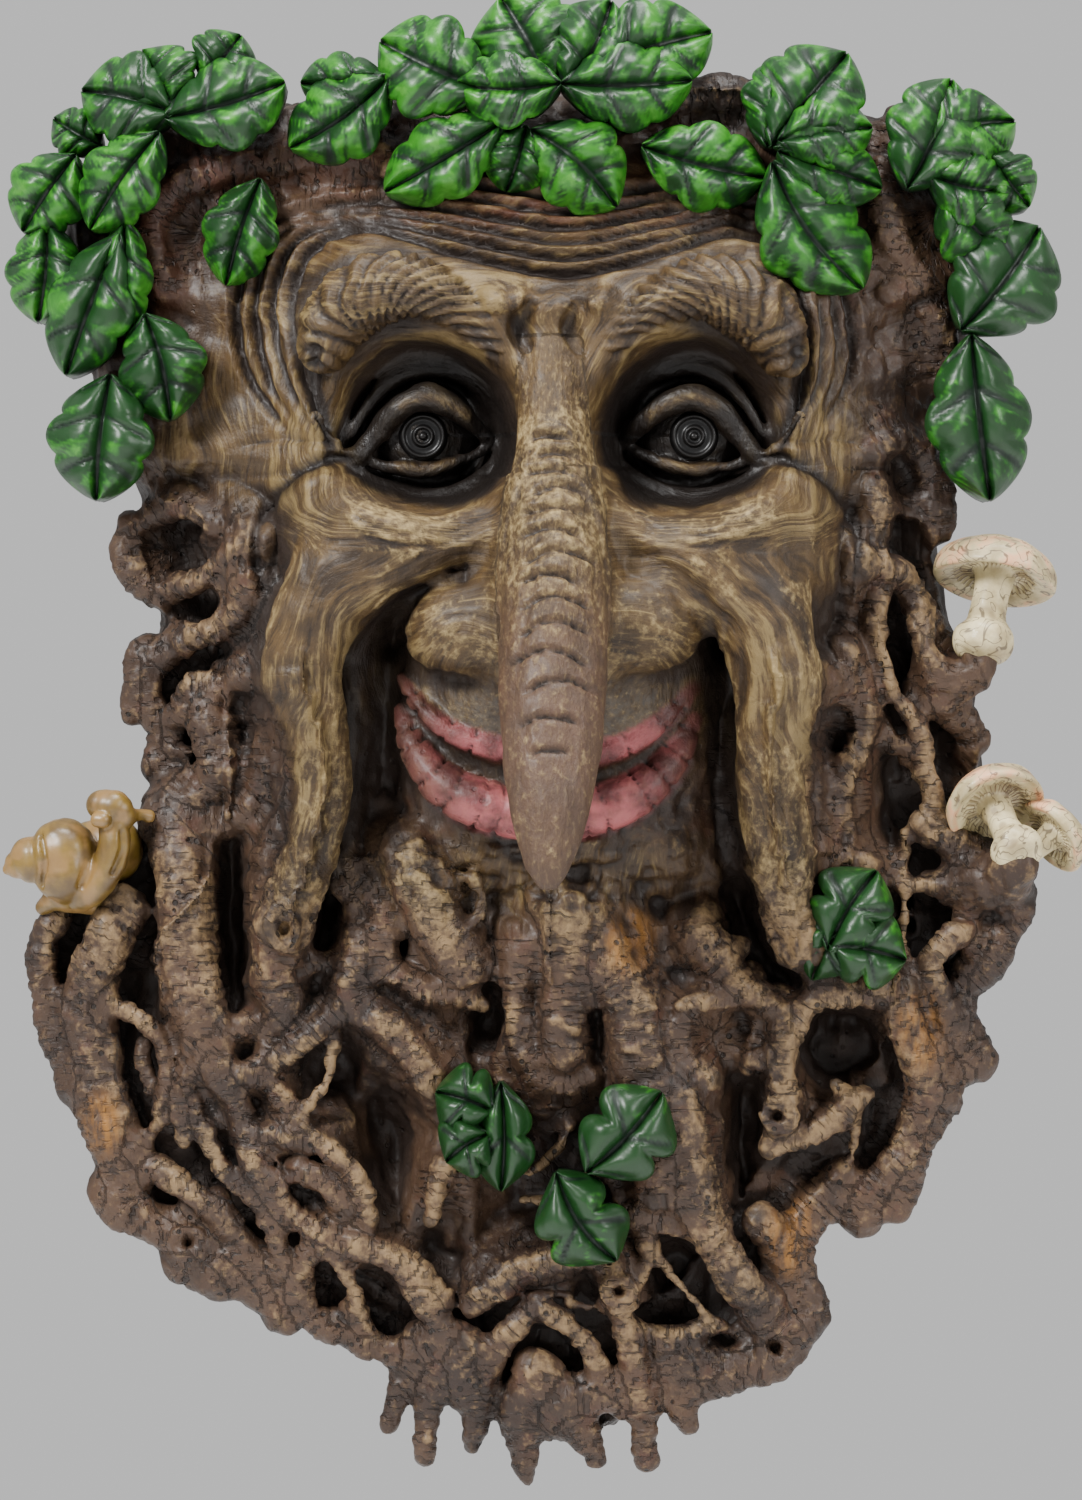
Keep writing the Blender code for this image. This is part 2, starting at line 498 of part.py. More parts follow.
def cutter(name, size, place):
    """A box that only cuts."""
    bm = bmesh.new()
    bmesh.ops.create_cube(bm, size=1)
    bmesh.ops.scale(bm, vec=size, verts=bm.verts)
    mesh = bpy.data.meshes.new(name)
    bm.to_mesh(mesh)
    bm.free()
    obj = bpy.data.objects.new(name, mesh)
    obj.location = place
    obj.hide_render = True
    obj.display_type = "WIRE"
    cutters.objects.link(obj)
    return obj


def keep_largest(mesh):
    """Removes every loose crumb of a mesh, so that only its largest piece stays."""
    bm = bmesh.new()
    bm.from_mesh(mesh)
    unseen = set(bm.verts)
    pieces = []
    while unseen:
        piece = [unseen.pop()]
        for vert in piece:
            for edge in vert.link_edges:
                other = edge.other_vert(vert)
                if other in unseen:
                    unseen.remove(other)
                    piece.append(other)
        pieces.append(piece)
    pieces.sort(key=len)
    for piece in pieces[:-1]:
        bmesh.ops.delete(bm, geom=piece, context="VERTS")
    bm.to_mesh(mesh)
    bm.free()


def cut(obj, tool):
    boolean = obj.modifiers.new(tool.name, "BOOLEAN")
    boolean.operation = "DIFFERENCE"
    boolean.solver = "EXACT"
    boolean.object = tool


def resin():
    material = bpy.data.materials.new("painted_resin")
    material.use_nodes = True
    shader = material.node_tree.nodes["Principled BSDF"]
    shader.inputs["Base Color"].default_value = (0.19, 0.12, 0.075, 1)
    shader.inputs["Roughness"].default_value = 0.55
    shader.inputs["Metallic"].default_value = 0.0
    return material


def make_casting():
    """Every shape fused into one casting, cut flat at the wall, with the nail pocket in its back."""
    make_bark()
    make_strands()
    make_nose()
    make_folds()
    make_leaves()
    make_toadstools()
    make_snail()
    fuse = gather("loose_shapes").modifiers.new("fuse", "REMESH")
    fuse.mode = "VOXEL"
    fuse.voxel_size = VOXEL
    fused = gather("fused_shapes")
    thin = fused.modifiers.new("thin", "DECIMATE")
    thin.use_collapse_triangulate = True
    thin.ratio = MOST_TRIANGLES / (2 * len(fused.data.polygons))
    casting = gather("plaque")
    keep_largest(casting.data)

    wall_size = 2 * PLAQUE_HEIGHT
    cut(casting, cutter("wall", (wall_size, wall_size, wall_size), (0, wall_size / 2, 0)))
    pocket_middle = POCKET_TOP - POCKET_HEIGHT / 2
    pocket_size = (POCKET_WIDTH, POCKET_DEPTH * 2, POCKET_HEIGHT)
    cut(casting, cutter("nail_pocket", pocket_size, (0, 0, pocket_middle)))
    casting.data.materials.append(resin())


for old in list(bpy.data.objects):
    bpy.data.objects.remove(old)
shapes = bpy.data.collections.new("green_man_plaque")
cutters = bpy.data.collections.new("cutters")
for collection in (shapes, cutters):
    bpy.context.scene.collection.children.link(collection)
make_casting()
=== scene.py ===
# %% [markdown]
# # A green man wall plaque
# The real plaque is one resin casting, painted by hand: a bearded tree face with a wreath of oak
# leaves, a beard of roots, three toadstools and a sea snail's shell. It could be sculpted by hand,
# or pushed out of a flat grid. Here it is carved as a field of distances, a block of numbers that
# are negative inside the resin. Round roots then melt into each other the way clay does.

import math

import bmesh
import bpy
import numpy as np
import openvdb
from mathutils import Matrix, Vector, kdtree


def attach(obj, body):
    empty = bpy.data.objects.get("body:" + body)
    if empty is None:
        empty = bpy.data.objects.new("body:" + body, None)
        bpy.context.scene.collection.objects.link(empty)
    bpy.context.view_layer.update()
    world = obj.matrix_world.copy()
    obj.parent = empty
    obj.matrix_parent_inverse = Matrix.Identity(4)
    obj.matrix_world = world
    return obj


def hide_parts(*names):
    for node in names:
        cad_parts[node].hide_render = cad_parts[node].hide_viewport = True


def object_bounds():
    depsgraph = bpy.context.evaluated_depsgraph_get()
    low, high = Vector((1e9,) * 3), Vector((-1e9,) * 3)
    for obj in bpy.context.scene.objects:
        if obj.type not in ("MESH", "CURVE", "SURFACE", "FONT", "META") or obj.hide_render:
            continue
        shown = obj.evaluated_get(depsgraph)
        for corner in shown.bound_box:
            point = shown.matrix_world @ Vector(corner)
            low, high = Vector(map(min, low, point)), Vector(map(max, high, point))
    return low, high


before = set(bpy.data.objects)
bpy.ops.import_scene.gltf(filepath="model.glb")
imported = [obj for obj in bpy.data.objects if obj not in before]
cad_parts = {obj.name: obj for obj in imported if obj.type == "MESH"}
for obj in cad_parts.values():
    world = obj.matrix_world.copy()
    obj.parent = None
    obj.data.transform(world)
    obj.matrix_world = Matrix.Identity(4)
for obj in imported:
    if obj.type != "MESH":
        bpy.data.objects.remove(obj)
cad_low, cad_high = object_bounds()
BODY = "root"
CASTING_NODE = "plaque"
print("CAD box in mm", [round(v * 1000, 1) for v in (*cad_low, *cad_high)])

# %% [markdown]
# ## The camera
# The photograph was taken straight on, from far enough away that the plaque hardly narrows. The
# lens could be guessed by trial. Here it is worked out from the height that the picture shows,
# with a fifth of a millimetre to a pixel at the face and the camera 1.6 m away.

# %% Camera
MM = 0.001
PICTURE_HEIGHT = 1500
MM_PER_PIXEL = 0.2
CAMERA_DISTANCE = 1.600
FACE_PLANE = 0.025
SENSOR = 36.0

camera_data = bpy.data.cameras.new("photo_lens")
seen_height = PICTURE_HEIGHT * MM_PER_PIXEL * MM
camera_data.sensor_width = SENSOR
camera_data.lens = SENSOR * (CAMERA_DISTANCE - FACE_PLANE) / seen_height
camera = bpy.data.objects.new("photo_camera", camera_data)
camera.location = (0, -CAMERA_DISTANCE, 0)
camera.rotation_euler = (math.pi / 2, 0, 0)
bpy.context.scene.collection.objects.link(camera)
bpy.context.scene.camera = camera
print("lens in mm", round(camera_data.lens, 1))

# %% [markdown]
# ## The light
# The photograph is lit softly, a little brighter from the upper left, and even its hollows stay
# open. One small lamp would throw hard black shadows. Three large square lamps and a pale world
# give the same gentle light.

# %% Three soft boxes and a pale room
LAMPS = [
    ("left_box", (-0.80, -0.95, 0.80), 0.40, 40),
    ("right_box", (1.00, -0.80, 0.35), 0.50, 12),
    ("top_box", (0.10, -0.30, 1.20), 0.50, 24),
]
ROOM_LIGHT = 0.66


def soft_box(name, place, size, watts):
    """A square light that looks at the middle of the plaque."""
    light = bpy.data.lights.new(name, "AREA")
    light.energy = watts
    light.size = size
    lamp = bpy.data.objects.new(name, light)
    lamp.location = place
    lamp.rotation_euler = (-Vector(place)).to_track_quat("-Z", "Y").to_euler()
    bpy.context.scene.collection.objects.link(lamp)


for row in LAMPS:
    soft_box(*row)

world = bpy.data.worlds.new("pale_room")
world.use_nodes = True
room = world.node_tree.nodes["Background"]
room.inputs["Color"].default_value = (1.0, 1.0, 1.0, 1)
room.inputs["Strength"].default_value = ROOM_LIGHT
bpy.context.scene.world = world
print(len(LAMPS), "soft boxes")

# %% [markdown]
# ## The floor
# The plaque hangs on a wall, so the floor only sends a little light up at it.

# %% A pale disc
FLOOR_DROP = 0.32
FLOOR_RADIUS = 1.0
floor_mesh = bpy.data.meshes.new("pale_floor")
cut = bmesh.new()
bmesh.ops.create_circle(cut, segments=96, radius=FLOOR_RADIUS, cap_ends=True)
cut.to_mesh(floor_mesh)
cut.free()
floor = bpy.data.objects.new("pale_floor", floor_mesh)
floor.location = (0, 0, -FLOOR_DROP)
bpy.context.scene.collection.objects.link(floor)
print("floor", FLOOR_DROP, "m below the middle of the plaque")

# %% [markdown]
# ## The outline
# The casting's edge wanders from root to root, so no formula gives it. It is a ring of listed
# points, in millimetres from the middle of the plaque, and the same points as the solid's.

# %% Points around the edge
EDGE = [
    (-62, 127), (-30, 133), (0, 134), (35, 133), (64, 128), (80, 119), (87, 106), (85, 88),
    (81, 70), (80, 55), (79, 42), (81, 28), (86, 14), (88, 0), (88, -12), (94, -26), (94, -38),
    (87, -49), (86, -60), (79, -74), (72, -86), (56, -92), (50, -103), (46, -116), (33, -124),
    (22, -132), (6, -138), (-8, -134), (-20, -130), (-30, -124), (-44, -116), (-56, -108),
    (-68, -103), (-78, -95), (-86, -82), (-92, -66), (-97, -50), (-98, -36), (-86, -22),
    (-75, -11), (-76, 2), (-80, 12), (-76, 27), (-81, 40), (-80, 52), (-87, 64), (-91, 80),
    (-96, 97), (-94, 110), (-82, 124), (-70, 131),
]
print(len(EDGE), "points around the edge")

# %% [markdown]
# ## The strands
# The beard is a tangle of roots. Each is a few listed points, with a thickness at its first and
# its last point. A random tangle would be quicker to write, but it wouldn't be this beard.

# %% Roots, trunks, tips and twigs
STRANDS = [
    # Left temple, and the strands beside the left cheek.
    ([(-83, 46), (-73, 49), (-65, 45)], (3.5, 3.0)),
    ([(-84, 41), (-81, 35), (-77, 31)], (4.0, 3.0)),
    ([(-57, 41), (-66, 35), (-77, 31)], (3.5, 3.5)),
    ([(-57, 34), (-63, 26), (-72, 22), (-79, 18)], (4.0, 3.0)),
    ([(-79, 20), (-79, 12), (-77, 2), (-74, -8)], (3.0, 2.5)),
    ([(-80, 19), (-83, 8)], (3.0, 2.0)),
    ([(-50, 29), (-56, 19), (-63, 14), (-70, 15), (-73, 7), (-77, -3)], (3.0, 2.5)),
    ([(-52, 8), (-55, 0), (-56, -8), (-61, -14), (-70, -14)], (3.5, 2.5)),
    ([(-67, 9), (-65, -2), (-68, -10)], (6.0, 6.0)),
    # Trunks under the left cheek.
    ([(-73, -15), (-72, -30), (-71, -45), (-66, -57)], (9.0, 7.0)),
    ([(-50, -18), (-52, -34), (-52, -52)], (6.5, 5.0)),
    ([(-84, -33), (-90, -45), (-91, -58), (-88, -72), (-84, -84)], (7.0, 6.0)),
    ([(-97, -32), (-100, -42), (-98, -56), (-94, -68)], (3.5, 3.0)),
    ([(-88, -50), (-80, -54), (-76, -62), (-77, -72)], (3.0, 2.0)),
    ([(-58, -54), (-66, -60), (-73, -68), (-72, -78)], (2.5, 2.5)),
    # The long diagonal root and the eye-shaped hollow that it frames.
    ([(-66, -60), (-61, -72), (-57, -83), (-51, -93), (-42, -98), (-30, -102), (-20, -110)],
     (4.0, 4.0)),
    ([(-58, -78), (-50, -77), (-42, -80), (-37, -86), (-35, -94)], (3.0, 3.0)),
    ([(-49, -85), (-44, -87), (-40, -92)], (4.0, 3.0)),
    ([(-63, -65), (-56, -66), (-51, -71), (-50, -76)], (2.5, 2.0)),
    ([(-71, -68), (-66, -80), (-58, -90), (-53, -101), (-51, -114)], (3.0, 3.0)),
    ([(-76, -84), (-66, -92), (-58, -102), (-53, -113)], (4.0, 3.5)),
    ([(-84, -82), (-84, -91), (-79, -96), (-70, -98), (-62, -104), (-58, -109)], (5.0, 3.5)),
    ([(-83, -90), (-88, -89)], (4.5, 3.5)),
    ([(-72, -102), (-66, -107)], (5.0, 4.0)),
    ([(-46, -100), (-49, -108), (-45, -115), (-36, -120), (-28, -121)], (3.0, 3.0)),
    ([(-44, -99), (-38, -108), (-35, -116)], (2.5, 2.0)),
    ([(-24, -108), (-20, -116), (-26, -120)], (4.0, 3.0)),
    # Root tips along the bottom edge.
    ([(-24, -118), (-28, -127), (-31, -136)], (4.5, 2.0)),
    ([(-20, -122), (-22, -133), (-23, -142)], (5.0, 2.0)),
    ([(-16, -120), (-13, -131), (-14, -140)], (6.0, 2.5)),
    ([(-3, -112), (-9, -120), (-13, -130)], (3.5, 3.0)),
    ([(0, -124), (-4, -136), (-2, -149)], (7.0, 3.5)),
    ([(0, -133), (9, -130), (18, -130)], (7.0, 4.5)),
    ([(6, -132), (11, -143)], (5.5, 2.5)),
    ([(14, -104), (17, -114), (20, -126), (22, -143)], (4.0, 3.0)),
    ([(0, -111), (8, -118), (12, -125), (17, -131)], (3.0, 3.0)),
    ([(26, -120), (28, -129), (29, -136)], (5.0, 2.5)),
    ([(30, -122), (37, -126)], (5.0, 3.0)),
    ([(50, -100), (53, -109), (56, -114)], (4.0, 2.5)),
    ([(-38, -112), (-43, -116)], (4.0, 2.5)),
    # The chin and the middle of the beard.
    ([(-40, -22), (-34, -28), (-31, -36), (-31, -43), (-23, -48), (-12, -50)], (3.0, 2.5)),
    ([(-26, -22), (-20, -34), (-14, -44)], (7.0, 5.0)),
    ([(-36, -38), (-37, -49), (-30, -56), (-22, -66)], (4.5, 4.0)),
    ([(-38, -50), (-45, -56), (-53, -62)], (3.0, 3.0)),
    ([(-3, -38), (-5, -52), (-3, -62), (3, -67), (9, -65)], (4.0, 2.5)),
    ([(6, -32), (5, -46), (4, -60)], (7.0, 6.0)),
    ([(-19, -84), (-22, -94)], (3.0, 2.5)),
    ([(-14, -111), (-7, -106), (1, -102), (10, -101)], (3.5, 3.0)),
    ([(12, -40), (19, -54), (22, -72), (24, -88)], (7.0, 7.0)),
    ([(27, -66), (29, -82), (33, -96), (42, -109), (50, -117)], (6.0, 5.5)),
    ([(50, -117), (49, -122), (42, -124), (34, -127)], (4.5, 4.0)),
    ([(20, -116), (27, -118), (33, -115)], (3.0, 2.5)),
    ([(44, -94), (50, -103), (55, -114)], (5.0, 2.5)),
    ([(32, -38), (40, -47), (48, -54), (48, -60), (42, -62)], (4.0, 3.0)),
    ([(37, -49), (29, -53), (28, -60), (33, -66)], (3.0, 2.5)),
    # Strands beside the right cheek.
    ([(66, 60), (74, 62), (80, 54), (80, 46)], (4.0, 4.0)),
    ([(66, 52), (68, 44)], (3.0, 2.5)),
    ([(64, 38), (72, 36), (77, 28), (80, 22), (87, 16)], (4.0, 3.0)),
    ([(68, 35), (67, 24), (70, 13), (75, 5), (78, -6), (78, -17)], (2.8, 2.5)),
    ([(78, 18), (82, 9), (88, 2)], (4.5, 3.5)),
    ([(60, 18), (64, 9), (64, 1), (60, -8), (59, -18)], (4.0, 3.0)),
    ([(46, 4), (44, -10), (46, -22)], (7.5, 6.0)),
    ([(45, -18), (48, -30), (50, -39), (56, -45), (64, -47), (72, -48)], (4.0, 3.5)),
    ([(50, -20), (58, -20), (64, -23)], (3.5, 3.0)),
    # The big root over the right-hand hollows, and the trunks and tips below it.
    ([(76, -15), (85, -20), (93, -25), (96, -32), (92, -40), (86, -46)], (5.0, 4.5)),
    ([(84, -36), (78, -44), (82, -53), (88, -62)], (3.5, 4.0)),
    ([(84, -52), (87, -62)], (4.5, 4.5)),
    ([(70, -49), (74, -58), (76, -68), (75, -78), (68, -88), (65, -95)], (5.0, 4.0)),
    ([(78, -60), (80, -70), (75, -82), (72, -92)], (5.0, 3.5)),
    ([(46, -79), (55, -76), (65, -70)], (3.5, 3.5)),
    ([(49, -55), (48, -66), (48, -77)], (3.5, 3.5)),
    ([(48, -58), (56, -49), (66, -49)], (3.0, 3.0)),
    ([(60, -88), (53, -96), (48, -103)], (5.0, 4.0)),
    # The twigs of the wreath.
    ([(-76, 92), (-78, 106), (-69, 115), (-56, 118), (-42, 119), (-26, 117)], (4.0, 6.0)),
    ([(22, 129), (36, 130), (50, 128)], (6.0, 5.0)),
    ([(73, 126), (69, 114), (70, 103), (76, 94), (81, 76)], (5.0, 4.0)),
    ([(70, 92), (80, 96), (93, 104)], (4.5, 4.0)),
]
print(len(STRANDS), "strands")

# %% [markdown]
# ## Hollows, valleys and folds
# Between the roots the casting sinks into dark hollows, and a fold of flesh runs down from each
# side of the nose past the mouth. A hollow is given by its centre, its two radii and its depth.
# Valleys are wider and softer than hollows.

# %% Hollows, valleys and folds
HOLLOWS = [
    (-80, -60, 5, 8, 9), (-45, -86, 8, 6, 6), (-33, -109, 5, 7, 9), (-43, -107, 3.5, 5, 7),
    (-31, -80, 6, 14, 9), (-42, -62, 6, 6, 7), (-26, -34, 5, 7, 8), (-10, -53, 4, 6, 7),
    (-60, -72, 4, 4, 4), (-66, -84, 6, 7, 7), (-62, -36, 3, 16, 9), (-43, -30, 3, 9, 7),
    (-64, 6, 5, 9, 6), (-57, 8, 3, 8, 5), (-75, 14, 2.5, 5, 6), (-70, 41, 5, 4, 5),
    (30, -106, 7, 9, 12), (59, -59, 8, 8, 15), (56, -84, 7, 8, 10), (42, -80, 4, 16, 10),
    (79, -31, 6, 7, 10), (54, -31, 4, 5, 7), (58, 3, 5, 8, 6), (72, 20, 3.5, 9, 6),
    (82, -2, 4, 8, 6), (70, -8, 4, 10, 6), (73, 56, 3, 6, 5), (40, -36, 4, 12, 8),
    (-2, -118, 4, 8, 7), (10, -110, 3, 6, 6), (-20, -98, 4, 12, 7), (48, -44, 5, 7, 8),
]

VALLEYS = [
    (-97, -38, 4, 7, 7), (-79, -45, 5, 8, 8), (-82, -60, 4, 9, 7), (-61, -36, 4.5, 19, 9),
    (-43, -33, 4, 13, 8), (-26, -36, 5, 8, 7), (-10, -55, 4, 8, 7), (-45, -65, 5, 9, 7),
    (-31, -77, 7, 16, 9), (-68, -78, 4, 9, 7), (-79, -82, 4, 8, 6), (-62, -96, 6, 7, 6),
    (-24, -98, 4, 6, 7), (-5, -95, 7, 6, 8), (-26, -114, 4, 5, 6), (2, -118, 5, 6, 7),
    (41, -28, 4, 17, 8), (11, -53, 3, 9, 7), (40, -78, 5, 17, 9), (60, -60, 8, 8, 9),
    (55, -84, 8, 8, 9), (79, -31, 6, 8, 8), (52, -31, 4.5, 9, 7), (27, -98, 8, 8, 7),
    (36, -110, 6, 7, 6), (85, -8, 3, 6, 5), (60, -5, 3, 9, 6), (72, 5, 3, 14, 6),
    (-60, 8, 5, 8, 6), (-75, 15, 4, 8, 6), (-70, -2, 4, 5, 5), (-64, 24, 3, 4, 4),
    (74, 45, 3, 6, 5), (70, 22, 3, 8, 5),
]

# A row of a fold is x, z, the depth from the face's level, and the radius.
FOLDS = [
    [(-9, 43, 3, 3), (-20, 39, 5, 4), (-31, 38, 5, 6), (-42, 31, 2, 8.5), (-47, 18, 0, 7.5),
     (-44, 5, -1, 5.6), (-42, -6, -3, 4.8), (-44, -18, -5, 4.2), (-50, -34, -9, 4)],
    [(14, 44, 3, 3), (23, 39, 5, 4), (32, 36, 5, 6), (42, 30, 2, 9), (46, 16, 0, 8.5),
     (45, 4, -1, 6.6), (45, -10, -3, 5.6), (48, -24, -6, 4.8), (51, -38, -10, 4)],
]

print(len(HOLLOWS), "hollows,", len(VALLEYS), "valleys and", len(FOLDS), "folds")

# %% [markdown]
# ## Smooth lines
# A line through listed points has corners. A Catmull-Rom curve passes through the same points
# without them, and it works on any number of columns at once, so a radius or a height is smoothed
# with the place.

# %% Lines through points
def path(points, step=1.0):
    """Rows at even steps on a smooth curve through the given rows."""
    knots = np.array([points[0], *points, points[-1]], float)
    knots[0] = 2 * knots[1] - knots[2]
    knots[-1] = 2 * knots[-2] - knots[-3]
    made = []
    for a, b, c, d in zip(knots, knots[1:], knots[2:], knots[3:]):
        count = max(2, round(float(np.linalg.norm((c - b)[:2])) / step))
        for t in np.arange(count) / count:
            square = (2 * a - 5 * b + 4 * c - d) * t**2
            cube = (3 * b - a - 3 * c + d) * t**3
            made.append(0.5 * (2 * b + (c - a) * t + square + cube))
    return np.array([*made, knots[-2]])


def to_line(x, z, line, closed=False):
    """How far each (x, z) is from a line, and how far along the line its nearest point is."""
    ends = np.roll(line, -1, axis=0) if closed else line[1:]
    best = np.full(np.shape(x), np.inf)
    along = np.zeros(np.shape(x))
    gone = 0.0
    for (ax, az), (bx, bz) in zip(line, ends):
        dx, dz = bx - ax, bz - az
        length = math.hypot(dx, dz) + 1e-9
        t = np.clip(((x - ax) * dx + (z - az) * dz) / length**2, 0, 1)
        far = np.hypot(x - ax - t * dx, z - az - t * dz)
        nearer = far < best
        best = np.where(nearer, far, best)
        along = np.where(nearer, gone + t * length, along)
        gone += length
    return best, along


def inside(x, z, line):
    """Whether each (x, z) is inside a closed outline."""
    found = np.zeros(np.shape(x), bool)
    for (ax, az), (bx, bz) in zip(line, np.roll(line, -1, axis=0)):
        if az != bz:
            found ^= ((az > z) != (bz > z)) & (x < ax + (bx - ax) * (z - az) / (bz - az))
    return found


def mound(x, z, cx, cz, rx, rz, power=2.0):
    """1 at the centre and falling to 0 past the radii. A higher power gives a flatter top."""
    return np.exp(-((np.abs((x - cx) / rx) ** 2 + np.abs((z - cz) / rz) ** 2) ** (power / 2)))


outline = path([*EDGE, EDGE[0]], 4.0)[:-1]
print("outline", len(outline), "points")

# %% [markdown]
# ## Noise
# Cast bark is never even. Blender has noise of its own, but a lattice of random numbers blended
# with numpy gives a value for half a million points at once. The seed is fixed, so the plaque is
# the same each time.

# %% Lattice noise
LATTICE_SIZE = 32
LATTICE = np.random.default_rng(7).uniform(-1, 1, (LATTICE_SIZE,) * 3)
SEED_SHIFT = 13.7
SPREAD = 1.4


def noise(points, size, seed=0):
    """Smooth noise from -1 to 1 at rows of points, with lumps of about the given size."""
    p = np.asarray(points, float) / size + seed * SEED_SHIFT
    cell = np.floor(p).astype(int)
    f = p - cell
    f = f * f * (3 - 2 * f)
    total = np.zeros(len(p))
    for corner in range(8):
        bits = np.array([corner & 1, corner >> 1 & 1, corner >> 2 & 1])
        weight = np.prod(np.where(bits, f, 1 - f), axis=1)
        i, j, k = ((cell + bits) % LATTICE_SIZE).T
        total += weight * LATTICE[i, j, k]
    return total * SPREAD


print("lattice of", LATTICE.size, "random numbers")

# %% [markdown]
# ## A block of distances
# Real resin is poured in one go, so roots, folds and nose run into each other without a seam. To
# get that, the casting is drawn in a block of small cubes, each of which holds its distance from
# the surface. A root is a string of round segments, and a smooth minimum joins it to what is there
# with a fillet, as the sculptor's thumb did. OpenVDB, which comes with Blender, makes the faces.

# %% The block
FAR = 3.0


class Block:
    """A box of distances in millimetres along x, z and depth, below 0 inside the resin."""

    def __init__(self, low, count, step):
        self.low, self.count, self.step = np.array(low, float), count, step
        self.x, self.z, self.deep = (low[k] + step * np.arange(count[k]) for k in range(3))
        self.field = np.full(count, FAR, np.float32)

    def cell_of(self, point):
        return np.clip(np.floor((point - self.low) / self.step), 0, self.count).astype(int)

    def lay(self, rows, blend=1.5, cut=False, reach=4.0):
        """Joins a round strand to the block, or cuts it out. A row is x, z, depth and radius."""
        rows = np.asarray(rows, float)
        wide = rows[:, 3].max() + reach
        low = self.cell_of(rows[:, :3].min(0) - wide)
        high = self.cell_of(rows[:, :3].max(0) + wide)
        near = np.full(high - low, reach, np.float32)
        for a, b in zip(rows, rows[1:]):
            wide = max(a[3], b[3]) + reach
            first = self.cell_of(np.minimum(a, b)[:3] - wide)
            last = self.cell_of(np.maximum(a, b)[:3] + wide)
            px = self.x[first[0] : last[0], None, None] - a[0]
            pz = self.z[None, first[1] : last[1], None] - a[1]
            pd = self.deep[None, None, first[2] : last[2]] - a[2]
            vx, vz, vd = (b - a)[:3]
            t = np.clip((px * vx + pz * vz + pd * vd) / (vx**2 + vz**2 + vd**2 + 1e-9), 0, 1)
            far = np.sqrt((px - t * vx) ** 2 + (pz - t * vz) ** 2 + (pd - t * vd) ** 2)
            far -= a[3] + t * (b[3] - a[3])
            part = tuple(slice(s, e) for s, e in zip(first - low, last - low))
            near[part] = np.minimum(near[part], far)
        window = tuple(slice(s, e) for s, e in zip(low, high))
        old, new = (-self.field[window], near) if cut else (self.field[window], near)
        mix = np.clip(0.5 + 0.5 * (new - old) / blend, 0, 1)
        joined = new + (old - new) * mix - blend * mix * (1 - mix)
        self.field[window] = -joined if cut else joined

    def surface_at(self, x, z):
        """Depth of the frontmost resin at one place."""
        i, j, _ = self.cell_of(np.array([x, z, 0.0]))
        solid = np.nonzero(self.field[i, j] < 0)[0]
        return self.deep[solid[-1]] if len(solid) else 0.0

    def mesh(self):
        """The points and the four-sided faces of the largest piece of the skin, faces outwards."""
        grid = openvdb.FloatGrid(FAR)
        grid.copyFromArray(np.clip(self.field, -FAR, FAR), tolerance=0.0)
        points, quads = grid.convertToQuads(isovalue=0.0)
        points, quads = self.low + points.astype(float) * self.step, quads.astype(int)
        a, b = quads.ravel(), np.roll(quads, 1, axis=1).ravel()
        label, new = None, np.arange(len(points))
        while label is None or (new != label).any():
            label = new
            low = np.minimum(label[a], label[b])
            new = label.copy()
            np.minimum.at(new, a, low)
            np.minimum.at(new, b, low)
            new = new[new]
        keep = label == np.bincount(label).argmax()
        number = np.cumsum(keep) - 1
        points, quads = points[keep], number[quads[keep[quads[:, 0]]]]
        a, b, c, d = (points[quads[:, k]] for k in range(4))
        middle = (a + b + c + d) / 4 - points.mean(0)
        bulk = np.einsum("ij,ij->i", middle, np.cross(c - a, d - b)).sum()
        return points, quads if bulk > 0 else quads[:, ::-1]


print("distances are kept up to", FAR, "mm")

# %% [markdown]
# ## The size of the drawing
# The bark is a dome about 27 mm thick that thins to its rim, and the face stands 13 mm higher. The
# face isn't quite centred on the plaque, so each side is measured from its own midline.

# %% Heights, places and the block's cells
BARK = 27.0
RIM = 13.0
RISE = 13.0
MIDLINE = 3.3
EYE_OUT, EYE_UP = 27.0, 62.5
STEP = 0.8
LOW = (-114.0, -154.0, -2.4)
COUNT = (286, 386, 112)
LEVEL = BARK + RISE
print("the face's level is", LEVEL, "mm off the wall")

# %% [markdown]
# ## The broad forms of the face
# Sockets, cheeks, brow ridge and muzzle are mounds over the dome. They could be balls in the
# block, but a height over the wall fills it in one go and blends softly by itself.

# %% The face as a height
def near_line(x, z, points, width):
    """1 on a smooth line through the points, falling to 0 beside it."""
    return np.exp(-((to_line(x, z, path(points))[0] / width) ** 2))


def bed(x, z):
    """The dome under the wreath and the beard."""
    low = np.clip((-z - 60) / 85, 0, 1)
    return BARK * (1 - 0.42 * np.abs(x / 100) ** 2.2 - 0.45 * low**1.5)


